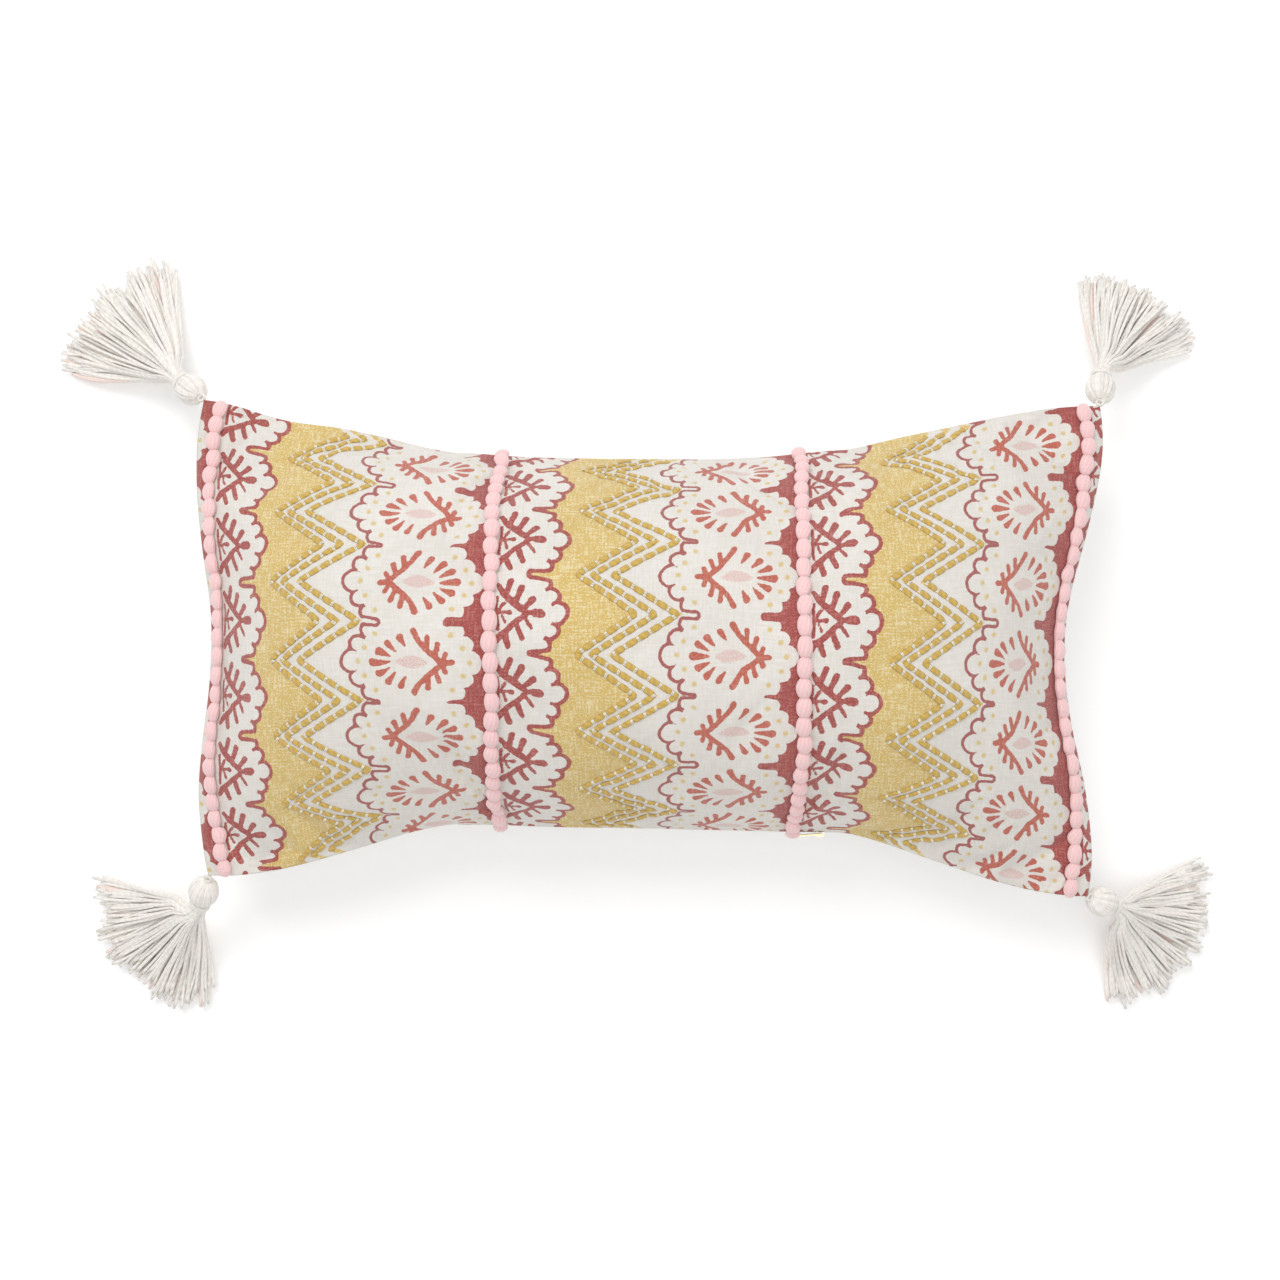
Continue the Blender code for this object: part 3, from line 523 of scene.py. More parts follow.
class Look:
    """A node material, built up from its shader backwards."""

    def __init__(self, name, roughness, sheen=0.0, metallic=0.0):
        self.material = bpy.data.materials.new(name)
        self.material.use_nodes = True
        self.tree = self.material.node_tree
        self.shader = self.tree.nodes["Principled BSDF"]
        plain = {"Roughness": roughness, "Metallic": metallic, "Sheen Weight": sheen, "Sheen Roughness": 0.6}
        plain["Specular IOR Level"] = 0.5 if metallic else 0.2
        for key, value in plain.items():
            self.shader.inputs[key].default_value = value

    def node(self, kind, inputs=None, **settings):
        made = self.tree.nodes.new("ShaderNode" + kind)
        for key, value in settings.items():
            setattr(made, key, value)
        for key, value in (inputs or {}).items():
            socket = made.inputs[key]
            if isinstance(value, bpy.types.NodeSocket):
                self.tree.links.new(value, socket)
            else:
                socket.default_value = value
        return made

    def math(self, operation, first, second=0.0, third=0.0):
        return self.node("Math", {0: first, 1: second, 2: third}, operation=operation).outputs[0]

    def times(self, first, second):
        return self.math("MULTIPLY", first, second)

    def mix(self, share, first, second):
        made = self.node("Mix", {0: share, 6: first, 7: second}, data_type="RGBA")
        return made.outputs[2]

    def shade(self, colour, factor):
        """The colour times a grey factor."""
        made = self.node("Mix", {0: 1.0, 6: colour, 7: factor}, data_type="RGBA", blend_type="MULTIPLY")
        return made.outputs[2]

    def step(self, value, low, high, start=0.0, end=1.0):
        inputs = {"Value": value, "From Min": low, "From Max": high, "To Min": start, "To Max": end}
        return self.node("MapRange", inputs, interpolation_type="SMOOTHSTEP").outputs[0]

    def noise(self, vector, scale, detail=2.0, stretch=(1, 1, 1)):
        mapped = self.node("Mapping", {"Vector": vector, "Scale": stretch}).outputs[0]
        return self.node("TexNoise", {"Vector": mapped, "Scale": scale, "Detail": detail}).outputs[0]

    def value(self, name):
        return self.node("Attribute", attribute_name=name).outputs["Fac"]

    def flat(self, name="flat"):
        return self.node("UVMap", uv_map=name).outputs[0]

    def local(self):
        return self.node("TexCoord").outputs["Object"]

    def bump(self, height, distance, strength=1.0):
        made = self.node("Bump", {"Height": height, "Distance": distance, "Strength": strength})
        self.tree.links.new(made.outputs[0], self.shader.inputs["Normal"])

    def colour(self, socket):
        self.tree.links.new(socket, self.shader.inputs["Base Color"])
        return self.material


def rgba(red, green, blue):
    return (red, green, blue, 1.0)


THREAD_PITCH = 1.15


def weave_height(look, flat):
    """Plain weave of slubby threads, 0 to 1, in a panel's flat millimetres."""
    drift = look.node("TexNoise", {"Vector": flat, "Scale": 0.35, "Detail": 1.0}).outputs["Color"]
    drift = look.node("VectorMath", {0: drift, 1: (0.9, 0.9, 0.0)}, operation="MULTIPLY").outputs[0]
    bent = look.node("VectorMath", {0: flat, 1: drift}, operation="ADD").outputs[0]
    across, along, _ = look.node("SeparateXYZ", {0: bent}).outputs
    warp = look.math("COSINE", look.times(across, 2 * math.pi / THREAD_PITCH))
    weft = look.math("COSINE", look.times(along, 2 * math.pi / THREAD_PITCH))
    return look.math("MULTIPLY_ADD", look.times(warp, weft), 0.5, 0.5)


def slubs(look, flat):
    """Thick and thin threads both ways, about 0 to 1."""
    weft = look.noise(flat, 1.0, 2.0, (0.10, 0.95, 1.0))
    warp = look.noise(flat, 1.0, 2.0, (0.95, 0.10, 1.0))
    return look.times(look.math("ADD", weft, warp), 0.5)


def cotton_look(name, base, printed):
    """Slubby cotton. Where it is printed, each ink covers what its own distance encloses."""
    look = Look(name, 0.88, 0.25)
    flat = look.flat()
    weave = weave_height(look, flat)
    slub = slubs(look, flat)
    fine = look.noise(flat, 0.9, 2.0)
    patch = look.noise(flat, 0.02, 2.0)
    thin = rgba(base[0] * 0.93, base[1] * 0.91, base[2] * 0.87)
    tone = look.mix(look.step(slub, 0.40, 0.62), thin, rgba(*base))
    if printed:
        rough_edge = look.times(look.math("SUBTRACT", look.noise(flat, 0.55, 2.0), 0.5), 1.1)

        def ink(distance, soft=0.22):
            return look.step(look.math("ADD", distance, rough_edge), -soft, soft, 1.0, 0.0)

        def line(distance, half):
            return look.math("SUBTRACT", look.math("ABSOLUTE", distance), half)

        def faded(share, where, full, pale_tone):
            return look.mix(look.times(where, share), full, pale_tone)

        pale = look.step(fine, 0.50, 0.68)
        worn = look.step(slub, 0.50, 0.60)
        either = look.math("MAXIMUM", pale, worn)
        gold = faded(0.8, pale, rgba(0.66, 0.465, 0.145), rgba(0.84, 0.74, 0.45))
        gold = faded(0.6, worn, gold, rgba(0.86, 0.77, 0.52))
        brick = faded(0.50, either, rgba(0.365, 0.078, 0.070), rgba(0.62, 0.27, 0.23))
        coral = faded(0.42, either, rgba(0.50, 0.125, 0.085), rgba(0.68, 0.34, 0.27))
        dusty = faded(0.35, pale, rgba(0.38, 0.115, 0.105), rgba(0.60, 0.30, 0.27))
        ochre = faded(0.6, pale, rgba(0.68, 0.50, 0.17), rgba(0.80, 0.70, 0.47))
        grain = look.step(look.noise(flat, 1.4, 1.0), 0.42, 0.6)
        pink = look.mix(grain, rgba(0.66, 0.42, 0.38), rgba(0.80, 0.66, 0.62))
        tone = look.mix(ink(look.value("gold")), tone, gold)
        tone = look.mix(ink(look.value("band")), tone, brick)
        tone = look.mix(ink(line(look.value("left_edge"), 1.3)), tone, brick)
        tone = look.mix(ink(line(look.value("middle_edge"), 1.0)), tone, dusty)
        tone = look.mix(ink(look.value("leaf")), tone, brick)
        tone = look.mix(ink(look.value("coral")), tone, coral)
        tone = look.mix(look.times(ink(look.value("lens"), 0.5), 0.8), tone, pink)
        tone = look.mix(look.times(ink(look.value("dots"), 0.7), 0.9), tone, ochre)
    # Painted shade: the low places of the weave, between the threads, are painted about a tenth darker than
    # its crests
    tone = look.shade(tone, look.math("MULTIPLY_ADD", weave, 0.10, 0.93))
    tone = look.shade(tone, look.step(patch, 0.3, 0.7, 0.965, 1.02))
    height = look.math("ADD", look.times(weave, 0.6), look.times(slub, 0.9))
    look.bump(height, 0.00035, 0.8)
    return look.colour(tone)


def yarn_look(name, groove_shade, light, blush_and_shade=None, twist=5.0, plies=3.0, sheen=0.3, hairy=0.35, relief=0.9):
    """Spun yarn: plies run round it, with painted shade in the grooves. UV gives turns round it and mm along
    it.
    """
    look = Look(name, 0.92, sheen)
    turns, along, _ = look.node("SeparateXYZ", {0: look.flat("yarn")}).outputs
    phase = look.math("ADD", look.times(turns, plies), look.math("DIVIDE", along, twist))
    ply = look.math("MULTIPLY_ADD", look.math("COSINE", look.times(phase, 2 * math.pi)), 0.5, 0.5)
    fibres = look.noise(look.local(), 900.0, 2.0)
    # Painted shade: the grooves between the plies are painted darker than their crests, following the same
    # ply height as the bump
    tone = look.mix(look.math("MULTIPLY_ADD", ply, 0.7, 0.5), rgba(*groove_shade), rgba(*light))
    tone = look.mix(look.step(fibres, 0.35, 0.7, 0.0, hairy), tone, rgba(*[min(1, c * 1.12) for c in light]))
    # High tints take a blush, partly a random strand colour and partly painted shade inside a tassel; low
    # tints darken a strand a little
    if blush_and_shade:
        tone = look.mix(look.step(look.value("tint"), 0.72, 0.98, 0.0, 0.75), tone, rgba(*blush_and_shade))
        tone = look.shade(tone, look.step(look.value("tint"), 0.0, 0.6, 0.90, 1.03))
    look.bump(look.math("ADD", ply, look.times(fibres, 0.6)), 0.0004, relief)
    return look.colour(tone)


def metal_look():
    look = Look("brass", 0.34, 0.0, 1.0)
    worn = look.noise(look.local(), 420.0, 3.0)
    tone = look.mix(look.step(worn, 0.35, 0.7), rgba(0.62, 0.50, 0.30), rgba(0.78, 0.67, 0.45))
    rough = look.step(worn, 0.3, 0.75, 0.28, 0.46)
    look.tree.links.new(rough, look.shader.inputs["Roughness"])
    look.bump(look.noise(look.local(), 1500.0, 2.0), 0.00004, 0.5)
    return look.colour(tone)


def tape_look(name, base, pitch):
    """Woven tape or moulded teeth, ribbed at a pitch along the zip."""
    look = Look(name, 0.8, 0.15)
    local = look.local()
    along = look.node("SeparateXYZ", {0: local}).outputs[0]
    ribs = look.math("SINE", look.times(along, 2 * math.pi / pitch))
    speck = look.noise(local, 700.0, 2.0)
    tone = look.mix(look.step(speck, 0.35, 0.65), rgba(*[c * 0.9 for c in base]), rgba(*base))
    # Painted shade: the grooves between the ribs are painted up to a tenth darker, following the ribs of the
    # bump
    tone = look.shade(tone, look.math("MULTIPLY_ADD", ribs, 0.05, 0.95))
    look.bump(ribs, 0.0002, 0.6)
    return look.colour(tone)


# ---- pieces


def new_piece(name, points, faces, look, uvs=None, uv_name="flat", values=None, smooth=True):
    mesh = bpy.data.meshes.new(name)
    faces = faces if isinstance(faces, list) else faces.tolist()
    mesh.from_pydata(np.asarray(points).tolist(), [], faces)
    if uvs is not None:
        layer = mesh.uv_layers.new(name=uv_name)
        layer.data.foreach_set("uv", np.asarray(uvs, np.float32).ravel())
    for key, value in (values or {}).items():
        attribute = mesh.attributes.new(key, "FLOAT", "POINT")
        attribute.data.foreach_set("value", np.asarray(value, np.float32).ravel())
    if smooth:
        mesh.shade_smooth()
    mesh.materials.append(look)
    return linked(name, mesh)


def settle(piece, body, slot, *nodes):
    """The piece moves with a body and stands in for soft nodes of the frame. The slot is not used."""
    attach(piece, body)
    if nodes:
        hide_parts(*nodes)


class Bundle:
    """Tubes gathered into one mesh, each with UVs round and along it and one tint."""

    def __init__(self):
        self.points, self.faces, self.uvs, self.tints, self.count = [], [], [], [], 0

    def tube(self, path, wide, high, up, sides, tint=0.5, closed=False, turn=0.0):
        path = np.asarray(path, float)
        rings = len(path)
        wide = np.broadcast_to(np.asarray(wide, float), rings)
        high = np.broadcast_to(np.asarray(high, float), rings)
        ahead = unit(np.roll(path, -1, 0) - np.roll(path, 1, 0) if closed else np.gradient(path, axis=0))
        side = unit(np.cross(ahead, np.broadcast_to(np.asarray(up, float), path.shape)))
        over = np.cross(side, ahead)
        angle = turn + 2 * np.pi * np.arange(sides) / sides
        points = (path[:, None] + side[:, None] * (wide[:, None] * np.cos(angle))[..., None]
                  + over[:, None] * (high[:, None] * np.sin(angle))[..., None])
        gaps = np.linalg.norm(np.diff(path, axis=0), axis=1)
        along = summed(gaps) * 1000
        last = rings if closed else rings - 1
        ring = np.arange(last)[:, None]
        column = np.arange(sides)[None, :]
        after = (ring + 1) % rings
        beside = (column + 1) % sides
        corners = [ring * sides + column, ring * sides + beside]
        corners += [after * sides + beside, after * sides + column]
        quads = np.stack([np.broadcast_to(c, (last, sides)) for c in corners], -1).reshape(-1, 4) + self.count
        low = np.broadcast_to(column / sides, (last, sides))
        high_u = low + 1 / sides
        start = np.broadcast_to(along[:last, None], (last, sides))
        step = along[1] - along[0] if rings > 1 else 0.0
        end = np.broadcast_to(np.append(along[1:], along[-1] + step)[:last, None], (last, sides))
        uv = np.stack([low, start, high_u, start, high_u, end, low, end], -1).reshape(-1, 8)
        self.points.append(points.reshape(-1, 3))
        self.faces += quads.tolist()
        self.uvs.append(uv.reshape(-1, 2))
        if not closed:
            for first, order in ((0, -1), ((rings - 1) * sides, 1)):
                self.faces.append([self.count + first + k for k in range(sides)][::order])
                self.uvs.append(np.tile([[0.5, 0.0]], (sides, 1)))
        self.tints.append(np.full(rings * sides, tint))
        self.count += rings * sides

    def piece(self, name, look):
        points, uvs, tints = (np.concatenate(rows) for rows in (self.points, self.uvs, self.tints))
        return new_piece(name, points, self.faces, look, uvs, "yarn", {"tint": tints})


def panel_piece(panel, name, look, values=None):
    """A panel's cloth, with its edge turned in to meet the other panel at the seam."""
    rows, columns = panel.points.shape[:2]
    points, a, b = panel.points, panel.shares_a, panel.shares_b
    inward = points.mean((0, 1)) - points
    inward[..., 2] = 0
    inward = unit(inward)
    edge = [(i, 0) for i in range(rows)] + [(rows - 1, j) for j in range(1, columns)]
    edge += [(i, columns - 1) for i in range(rows - 2, -1, -1)] + [(0, j) for j in range(columns - 2, 0, -1)]
    edge_rows, edge_columns = np.array(edge).T
    flat = np.stack(np.meshgrid(a * HALF_LENGTH, b * HALF_WIDTH, indexing="ij"), -1) * 1000
    all_points, all_flat = [points.reshape(-1, 3)], [flat.reshape(-1, 2)]
    count = rows * columns
    around = np.arange(len(edge))
    following = np.roll(around, -1)
    before = edge_rows * columns + edge_columns
    faces = [grid_quads(rows, columns, flip=panel.side < 0)]
    for inset, lip in SEAM_TURN:
        turned = points + inward * inset
        turned[..., 2] -= panel.side * LIP * lip
        all_points.append(turned[edge_rows, edge_columns])
        all_flat.append(flat[edge_rows, edge_columns])
        here = count + around
        ring = np.stack([before, here, here[following], before[following]], 1)
        faces.append(ring if panel.side > 0 else ring[:, ::-1])
        before = here
        count += len(edge)
    faces = np.concatenate(faces)
    for key, value in (values or {}).items():
        values[key] = np.concatenate([value.ravel(), *[value[edge_rows, edge_columns]] * len(SEAM_TURN)])
    uvs = np.concatenate(all_flat)[faces.ravel()]
    return new_piece(name, np.concatenate(all_points), faces, look, uvs, "flat", values)


def make_cover(front, back):
    lines = front.shares_a * HALF_LENGTH * 1000, front.shares_b * HALF_WIDTH * 1000
    flat_x, flat_y = np.meshgrid(*lines, indexing="ij")
    look = cotton_look("printed_cotton", (0.80, 0.772, 0.732), True)
    top = panel_piece(front, "front_cloth", look, print_distances(flat_x, flat_y))
    under = panel_piece(back, "back_cloth", cotton_look("plain_cotton", (0.80, 0.77, 0.725), False))
    for piece, node, slot in ((top, "cover_front", "printed_cotton"), (under, "cover_back", "plain_cotton")):
        settle(piece, "pillow", slot, node)


def make_insert(front, back):
    """The cased insert, a little inside the cover."""
    rows, columns = INSERT_GRID
    end, side = INSERT_REACH
    shares_a, shares_b = np.linspace(-end, end, rows), np.linspace(-side, side, columns)
    x, y = np.meshgrid(shares_a * HALF_LENGTH, shares_b * HALF_WIDTH, indexing="ij")
    to_end, to_side = 1 - np.abs(shares_a)[:, None] / end, 1 - np.abs(shares_b)[None, :] / side
    fade = np.minimum(1, np.minimum(to_end, to_side) / 0.12)
    upper, _ = front.at(x, y, -INSERT_DEPTH)
    lower, _ = back.at(x, y, -INSERT_DEPTH)
    seam = (upper + lower) / 2
    fade = np.sqrt(fade)[..., None]
    upper = seam + (upper - seam) * fade
    lower = seam + (lower - seam) * fade
    lower[..., 2] = np.maximum(lower[..., 2], 0.003)
    count = rows * columns
    points = np.concatenate([upper.reshape(-1, 3), lower.reshape(-1, 3)])
    faces = np.concatenate([grid_quads(rows, columns), grid_quads(rows, columns, count, True)])
    flat = np.stack([x, y], -1).reshape(-1, 2) * 1000
    flat = np.concatenate([flat, flat])
    look = cotton_look("casing_cloth", (0.82, 0.82, 0.81), False)
    piece = new_piece("insert", points, faces, look, flat[faces.ravel()])
    joined = bmesh.new()
    joined.from_mesh(piece.data)
    bmesh.ops.remove_doubles(joined, verts=joined.verts, dist=1e-5)
    joined.to_mesh(piece.data)
    joined.free()
    settle(piece, "pillow", "casing_cloth", "insert_casing_front", "insert_casing_back", "fibre_fill")


def make_trims(front):
    """Soft bobbles on a cord, each a puff of ribbed cotton that narrows to the next."""
    spun = {"twist": 9.0, "plies": BOBBLE_RIBS, "sheen": 0.5, "hairy": 0.5, "relief": 0.4}
    look = yarn_look("pink_cotton", (0.79, 0.47, 0.475), (0.87, 0.585, 0.585), **spun)
    run = COVER_WIDTH - 2 * TRIM_HEM
    bobbles = round(run / BOBBLE_PITCH)
    per, sides = BOBBLE_RINGS, BOBBLE_SIDES
    rings = bobbles * per + 1
    for number, line in enumerate(TRIM_LINES, start=1):
        place = np.linspace(-1, 1, rings) * run / 2
        phase = (np.arange(rings) % per) / per
        which = np.minimum(np.arange(rings) // per, bobbles - 1)
        wobble = np.array([chance.uniform(0.93, 1.06) for _ in range(bobbles)])[which]
        shift = np.array([chance.uniform(-0.0006, 0.0006) for _ in range(bobbles)])[which]
        swell = np.abs(np.sin(np.pi * phase)) ** 0.62
        size = BOBBLE_WAIST + (1 - BOBBLE_WAIST) * swell * wobble
        wide, high = BOBBLE_WIDTH / 2 * size, BOBBLE_HEIGHT / 2 * size
        x = line + shift * np.sin(np.pi * phase) + 0.0007 * np.sin(place / 0.031 + number)
        path, up = front.at(x, place, high + 0.0001)
        bundle = Bundle()
        bundle.tube(path, wide, high, up, sides, 0.5)
        points = bundle.points[0].reshape(rings, sides, 3)
        angle = 2 * np.pi * np.arange(sides) / sides
        twist = 2 * np.pi * place[:, None] / RIB_TWIST
        ribs = 1 + RIB_DEPTH * np.cos(BOBBLE_RIBS * angle[None, :] + twist)
        bundle.points[0] = (path[:, None] + (points - path[:, None]) * ribs[..., None]).reshape(-1, 3)
        settle(bundle.piece(f"trim_{number}", look), "pillow", "pink_cotton", f"bobble_trim_{number}")


def zigzag(start, left, right, phase):
    """Flat places along one zigzag, in metres, with rounded turns, and how far each is along it."""
    reach = HALF_WIDTH - YARN_HEM
    across = np.arange(-reach, reach, 0.0004)
    half = ZIGZAG_PERIOD / 2
    share = np.abs((across - phase + half) % ZIGZAG_PERIOD - half) / half
    along = start + (left + (right - left) * share) * REPEAT
    kernel = np.ones(5) / 5
    padded = np.concatenate([np.full(2, along[0]), along, np.full(2, along[-1])])
    along = np.convolve(padded, kernel, "valid")
    far = summed(np.hypot(np.diff(along), np.diff(across)))
    even = np.linspace(0, far[-1], int(far[-1] / 0.0011))
    return np.interp(even, far, along), np.interp(even, far, across), even


def make_yarns(front):
    yarn = yarn_look("mustard_yarn", (0.42, 0.27, 0.05), (0.61, 0.41, 0.10), twist=4.0, plies=2.0, hairy=0.4)
    spun = {"twist": 2.0, "plies": 2.0, "hairy": 0.4}
    thread = yarn_look("couching_thread", (0.80, 0.73, 0.56), (0.92, 0.87, 0.74), **spun)
    for panel, (start, phase) in enumerate(zip(TRIM_LINES, ZIGZAG_PHASES), start=1):
        for row, (left, right) in enumerate(YARN_ROWS, start=1):
            x, y, far = zigzag(start, left, right, phase)
            pinch = np.abs(np.sin(np.pi * far / STITCH_PITCH)) ** 8
            swell = 1 - STITCH_PINCH * pinch
            high = YARN_HALF_HEIGHT * swell
            path, up = front.at(x, y, high - YARN_SINK)
            bundle = Bundle()
            bundle.tube(path, YARN_HALF_WIDTH * swell, high, up, 8, 0.5)
            piece = bundle.piece(f"yarn_{panel}{row}", yarn)
            settle(piece, "pillow", "mustard_yarn", f"couched_yarn_{panel}{row}")
            ties = Bundle()
            for number in range(1, int(far[-1] / STITCH_PITCH)):
                at = number * STITCH_PITCH + STITCH_PITCH / 2 + chance.uniform(-0.0006, 0.0006)
                at_x, at_y = np.interp(at, far, x), np.interp(at, far, y)
                ahead = np.array([np.interp(at + 0.001, far, x) - at_x, np.interp(at + 0.001, far, y) - at_y])
                ahead = unit(ahead)
                lean = math.radians(chance.uniform(-9, 9))
                square = np.array([-ahead[1], ahead[0]]) * math.cos(lean) + ahead * math.sin(lean)
                for offset in (-THREAD_SPACING, THREAD_SPACING):
                    turn = np.linspace(-1, 1, 7)
                    half = YARN_HALF_WIDTH - THREAD_SPACING
                    tie_x = at_x + ahead[0] * offset + square[0] * half * turn
                    tie_y = at_y + ahead[1] * offset + square[1] * half * turn
                    height = (2 * YARN_HALF_HEIGHT - 0.0003) * np.sqrt(np.maximum(0, 1 - turn**2)) ** 0.8
                    tie, over = front.at(tie_x, tie_y, height - 0.0001)
                    ties.tube(tie, 0.00044, 0.00026, over, 5, 0.5)
            settle(ties.piece(f"couching_{panel}{row}", thread), "pillow", "ivory_yarn")


# ---- tassels


def skirt_profile(length, drop):
    """Distances out and down, at even steps, of a bundle that leaves at the tassel's tilt and ends level."""
    shares = np.linspace(0, 1, 41)

    def path(bend):
        angle = TASSEL_TILT * (1 - shares) + bend * np.sin(math.pi * shares)
        middle = (angle[1:] + angle[:-1]) / 2
        step = length / (len(shares) - 1)
        return summed(np.cos(middle) * step), summed(np.sin(middle) * step)

    least, most = 0.0, math.radians(80.0)
    for _ in range(40):
        bend = (least + most) / 2
        if path(bend)[1][-1] < drop:
            least = bend
        else:
            most = bend
    return shares, *path(least)


def make_skirt(name, neck, heading, look):
    """Cut yarn that fans out from the neck, in loose tufts with ragged ends, over a fuller lower layer."""
    fan_heading, half_angle, length, strands = FANS[name]
    thin = STRAND_RADIUS
    shares, out, down = skirt_profile(length, neck[2] - SKIRT_REST)
    turn = (fan_heading - heading + 180) % 360 - 180
    tufts = 9 if half_angle < 50 else 12
    pulls = [chance.uniform(-0.035, 0.035) for _ in range(tufts)]
    lengths = [chance.uniform(0.92, 1.0) for _ in range(tufts)]
    ahead_x, ahead_y = math.cos(math.radians(heading)), math.sin(math.radians(heading))
    bundle = Bundle()
    for number in range(strands):
        under = number % 4 == 0
        start_q = -1 + 2 * (number + chance.random()) / strands
        tuft = min(tufts - 1, int((start_q + 1) / 2 * tufts))
        centre = -1 + 2 * (tuft + 0.5) / tufts
        end_q = start_q + 0.22 * (centre - start_q) + pulls[tuft] + chance.gauss(0, 0.035)
        stray = chance.random() < 0.04
        if stray:
            end_q += chance.uniform(-0.15, 0.15)
        layer = chance.uniform(-0.75, -0.3) if under else chance.uniform(-1, 1)
        reach = lengths[tuft] * chance.uniform(0.86, 1.03) * (1.04 if stray else 1.0)
        if under:
            reach *= 0.95
        s = np.linspace(0, 1, 23) * reach
        opened = smoothstep((s + 0.03) / 0.30)
        q = start_q + (end_q - start_q) * smoothstep((s - 0.2) / 0.8)
        swing, waves, start = chance.uniform(-3.2, 3.2), chance.uniform(1.0, 2.0), chance.uniform(0, 3)
        sway = swing * np.sin(s * math.pi * waves + start) * s
        fan = np.radians(heading + turn * opened + half_angle * opened * q * 0.97 + sway)
        outward = np.stack([np.cos(fan), np.sin(fan), np.zeros_like(fan)], 1)
        far = np.interp(s, shares, out) + np.maximum(s - 1, 0) * length
        low = np.interp(s, shares, down)
        thick = 2 * NECK_RADIUS + (SKIRT_THICKNESS - 2 * NECK_RADIUS) * opened
        thick -= 0.006 * np.maximum(0, s - 0.5) / 0.5
        steep = np.arctan2(np.gradient(low), np.gradient(far))
        up = outward * np.sin(steep)[:, None] + np.array([0, 0, 1.0]) * np.cos(steep)[:, None]
        edge = math.sqrt(max(0.0, 1 - min(1.0, abs(start_q)) ** 2 * 0.8))
        path = neck + outward * far[:, None]
        path[:, 2] -= low
        path[0] += np.array([-ahead_x, -ahead_y, 0.7]) * 0.0022
        path -= np.array([ahead_y, -ahead_x, 0.0]) * (NECK_RADIUS - thin) * (start_q * (1 - opened))[:, None]
        path += up * ((thick / 2 - thin) * layer * edge)[:, None]
        path += up * (0.0006 * np.sin(s * 9 + chance.uniform(0, 6)) * opened)[:, None]
        path[:, 2] = np.maximum(path[:, 2], thin + 0.0004)
        radius = thin * (1 + 0.08 * np.sin(s * 23 + chance.uniform(0, 6)) + 0.18 * s)
        if under:
            radius = radius * (1.3 + 0.7 * s)
        radius[-1] *= 0.8
        # Under strands take high tints and so mostly the blush, which on them is painted shade, the pinkish
        # tone inside the tassel; strands low in the skirt may take more of it than those on top. Elsewhere
        # the tint is a random strand colour
        tint = chance.uniform(0.6, 1.0) if under else chance.random() * (1.0 if layer < 0.1 else 0.8)
        bundle.tube(path, radius, radius, (0, 0, 1), 6, tint, turn=chance.uniform(0, 1))
    piece = bundle.piece(f"tassel_{name}_strands", look)
    settle(piece, f"tassel_{name}", "ivory_yarn", f"tassel_{name}_skirt")


def square_to(axis):
    """Two directions square to an axis and to each other, the first of them level."""
    side = unit(np.cross(axis, [0, 0, 1.0]))
    return side, np.cross(side, axis)


def make_head(name, middle, axis, look):
    """Strands folded over the loop and gathered at the neck, round a core."""
    side, over = square_to(axis)
    bundle = Bundle()
    for number in range(HEAD_STRANDS):
        angle = 2 * math.pi * (number + chance.uniform(-0.3, 0.3)) / HEAD_STRANDS
        t = np.linspace(0.03, 0.97, 19) * math.pi
        twist = angle + 0.18 * np.sin(t) * chance.uniform(0.3, 1.0)
        grown = chance.uniform(0.965, 1.01)
        away = (HEAD_RADIUS - 0.0013) * np.sin(t) ** 0.86 * grown
        away = np.where(t > 2.4, np.maximum(away, NECK_RADIUS - 0.0010), away)
        outward = side * np.cos(twist)[:, None] + over * np.sin(twist)[:, None]
        path = middle - axis * ((HEAD_RADIUS - 0.0006) * np.cos(t))[:, None]
        path += outward * away[:, None]
        bundle.tube(path, 0.0012, 0.00095, outward, 6, chance.random() * 0.8)
    for ring_angle in np.linspace(0, math.pi, 7)[:-1]:
        t = np.linspace(0, 2 * math.pi, 25)[:-1]
        spin = side * math.cos(ring_angle) + over * math.sin(ring_angle)
        path = middle + (axis * np.cos(t)[:, None] + spin * np.sin(t)[:, None]) * 0.0058
        bundle.tube(path, 0.0034, 0.0034, np.cross(axis, spin), 8, 0.1, closed=True)
    settle(bundle.piece(f"tassel_{name}_ball", look), f"tassel_{name}", "ivory_yarn", f"tassel_{name}_head")


def make_neck_and_loop(name, tip, neck, axis, look):
    """Thread wound round the neck, and the doubled cord that hangs the tassel from the corner."""
    side, over = square_to(axis)
    wrap = Bundle()
    turns, per = 3, 22
    t = np.linspace(0, 1, turns * per + 1)
    angle = 2 * math.pi * turns * t
    outward = side * np.cos(angle)[:, None] + over * np.sin(angle)[:, None]
    away = NECK_RADIUS + 0.0003
    path = neck + axis * (0.0032 * t - 0.0008)[:, None] + outward * away
    wrap.tube(path, 0.00066, 0.00062, outward, 7, 0.3)
    settle(wrap.piece(f"tassel_{name}_tie", look), f"tassel_{name}", "ivory_yarn", f"tassel_{name}_neck_wrap")
    loop = Bundle()
    t = np.linspace(0, 2 * math.pi, 33)[:-1]
    for offset, grow in ((-0.0005, 1.0), (0.0005, 0.94)):
        path = tip + axis * (LOOP_REACH / 2 + 0.0003 - 0.0024 * grow * np.cos(t))[:, None]
        path += side * (0.0022 * grow * np.sin(t))[:, None] + over * offset
        loop.tube(path, 0.00062, 0.00062, over, 7, 0.4, closed=True)
    piece = loop.piece(f"tassel_{name}_cord", look)
    settle(piece, f"tassel_{name}_hanger", "ivory_yarn", f"tassel_{name}_loop")


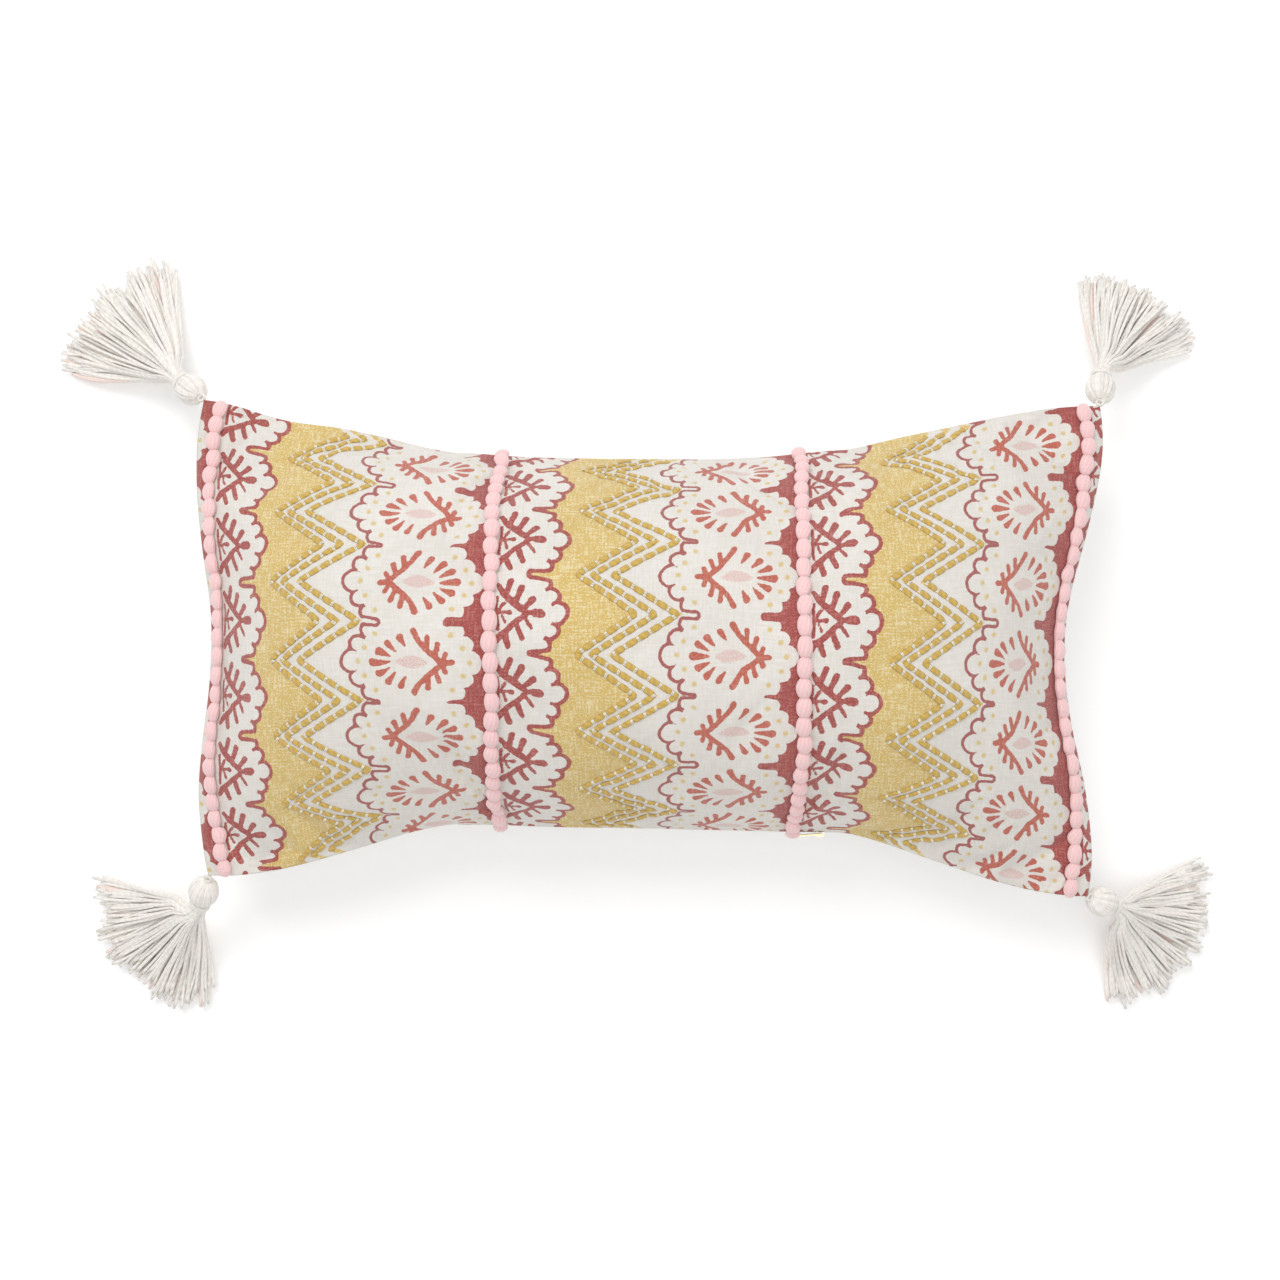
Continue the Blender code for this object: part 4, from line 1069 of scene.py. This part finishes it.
def make_tassels():
    spun = {"blush_and_shade": (0.86, 0.66, 0.60), "twist": 5.0, "plies": 2.0, "hairy": 0.4, "relief": 0.35}
    look = yarn_look("ivory_yarn", (0.76, 0.715, 0.66), (0.87, 0.84, 0.79), **spun)
    joints = {joint["name"]: joint for joint in frame["joints"]}
    for name in FANS:
        tip = np.array(joints[f"tassel_{name}_swing"]["pos_m"])
        lift = joints[f"tassel_{name}_lift"]["axis"]
        heading = math.degrees(math.atan2(lift[0], -lift[1]))
        level = np.array([math.cos(math.radians(heading)), math.sin(math.radians(heading)), 0.0])
        axis = level * math.cos(TASSEL_TILT) - np.array([0, 0, math.sin(TASSEL_TILT)])
        middle = tip + axis * (LOOP_REACH + HEAD_RADIUS)
        neck = middle + axis * (HEAD_RADIUS + 0.0003)
        make_skirt(name, neck, heading, look)
        make_head(name, middle, axis, look)
        make_neck_and_loop(name, tip, neck, axis, look)


# ---- zip


def make_zip():
    """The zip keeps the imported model's own pieces, and only their materials are new."""
    metal = metal_look()
    tape = tape_look("zip_tape", (0.80, 0.76, 0.69), 0.0006)
    teeth = tape_look("zip_teeth", (0.82, 0.79, 0.73), 0.0011)
    looks = dict.fromkeys(("slider", "pull", "top_stop_front", "top_stop_back", "bottom_stop"), metal)
    looks |= {"tape_front": tape, "tape_back": tape, "teeth_front": teeth, "teeth_back": teeth}
    for node, look in looks.items():
        materials = frame["nodes"][f"zip_{node}"].data.materials
        materials.clear()
        materials.append(look)


# ---- floor, light and camera


def make_stage():
    look = Look("floor", 0.9)
    patches = look.step(look.noise(look.local(), 3.0, 2.0), 0.3, 0.7)
    tone = look.mix(patches, rgba(0.935, 0.935, 0.935), rgba(0.95, 0.95, 0.95))
    look.shader.inputs["Emission Color"].default_value = rgba(1.0, 1.0, 1.0)
    look.shader.inputs["Emission Strength"].default_value = 0.13
    far, low = 4.0, -GROUND_GAP
    corners = [(-far, -far, low), (far, -far, low), (far, far, low), (-far, far, low)]
    new_piece("floor", corners, [[0, 1, 2, 3]], look.colour(tone), smooth=False)


def area_light(name, place, target, size, power):
    light = bpy.data.lights.new(name, "AREA")
    light.shape = "DISK"
    light.size = size
    light.energy = power
    made = linked(name, light)
    made.location = place
    made.rotation_euler = (Vector(target) - Vector(place)).to_track_quat("-Z", "Y").to_euler()


def make_light_and_camera():
    world = bpy.data.worlds.new("world")
    world.use_nodes = True
    background = world.node_tree.nodes["Background"]
    background.inputs[0].default_value = (1.0, 1.0, 1.0, 1.0)
    background.inputs[1].default_value = 0.62
    bpy.context.scene.world = world
    area_light("key", (-0.7, 1.5, 2.4), (0, 0, 0.05), 1.5, 32)
    area_light("top", (0.5, -0.4, 2.8), (0, 0, 0.05), 1.8, 16)
    bpy.context.scene.view_settings.view_transform = "Standard"
    camera = bpy.data.cameras.new("camera")
    camera.sensor_width = 36.0
    camera.lens = 73.0
    camera.clip_start = 0.05
    made = linked("camera", camera)
    made.location = (SHIFT[0] - 0.0042, SHIFT[1] + 0.0009, 1.66)
    bpy.context.scene.camera = made


make_light_and_camera()
make_stage()
front_panel, back_panel = make_panels()
make_insert(front_panel, back_panel)
make_cover(front_panel, back_panel)
make_trims(front_panel)
make_yarns(front_panel)
make_tassels()
make_zip()


def plain(box):
    return [[round(float(value), 5) for value in corner] for corner in box]
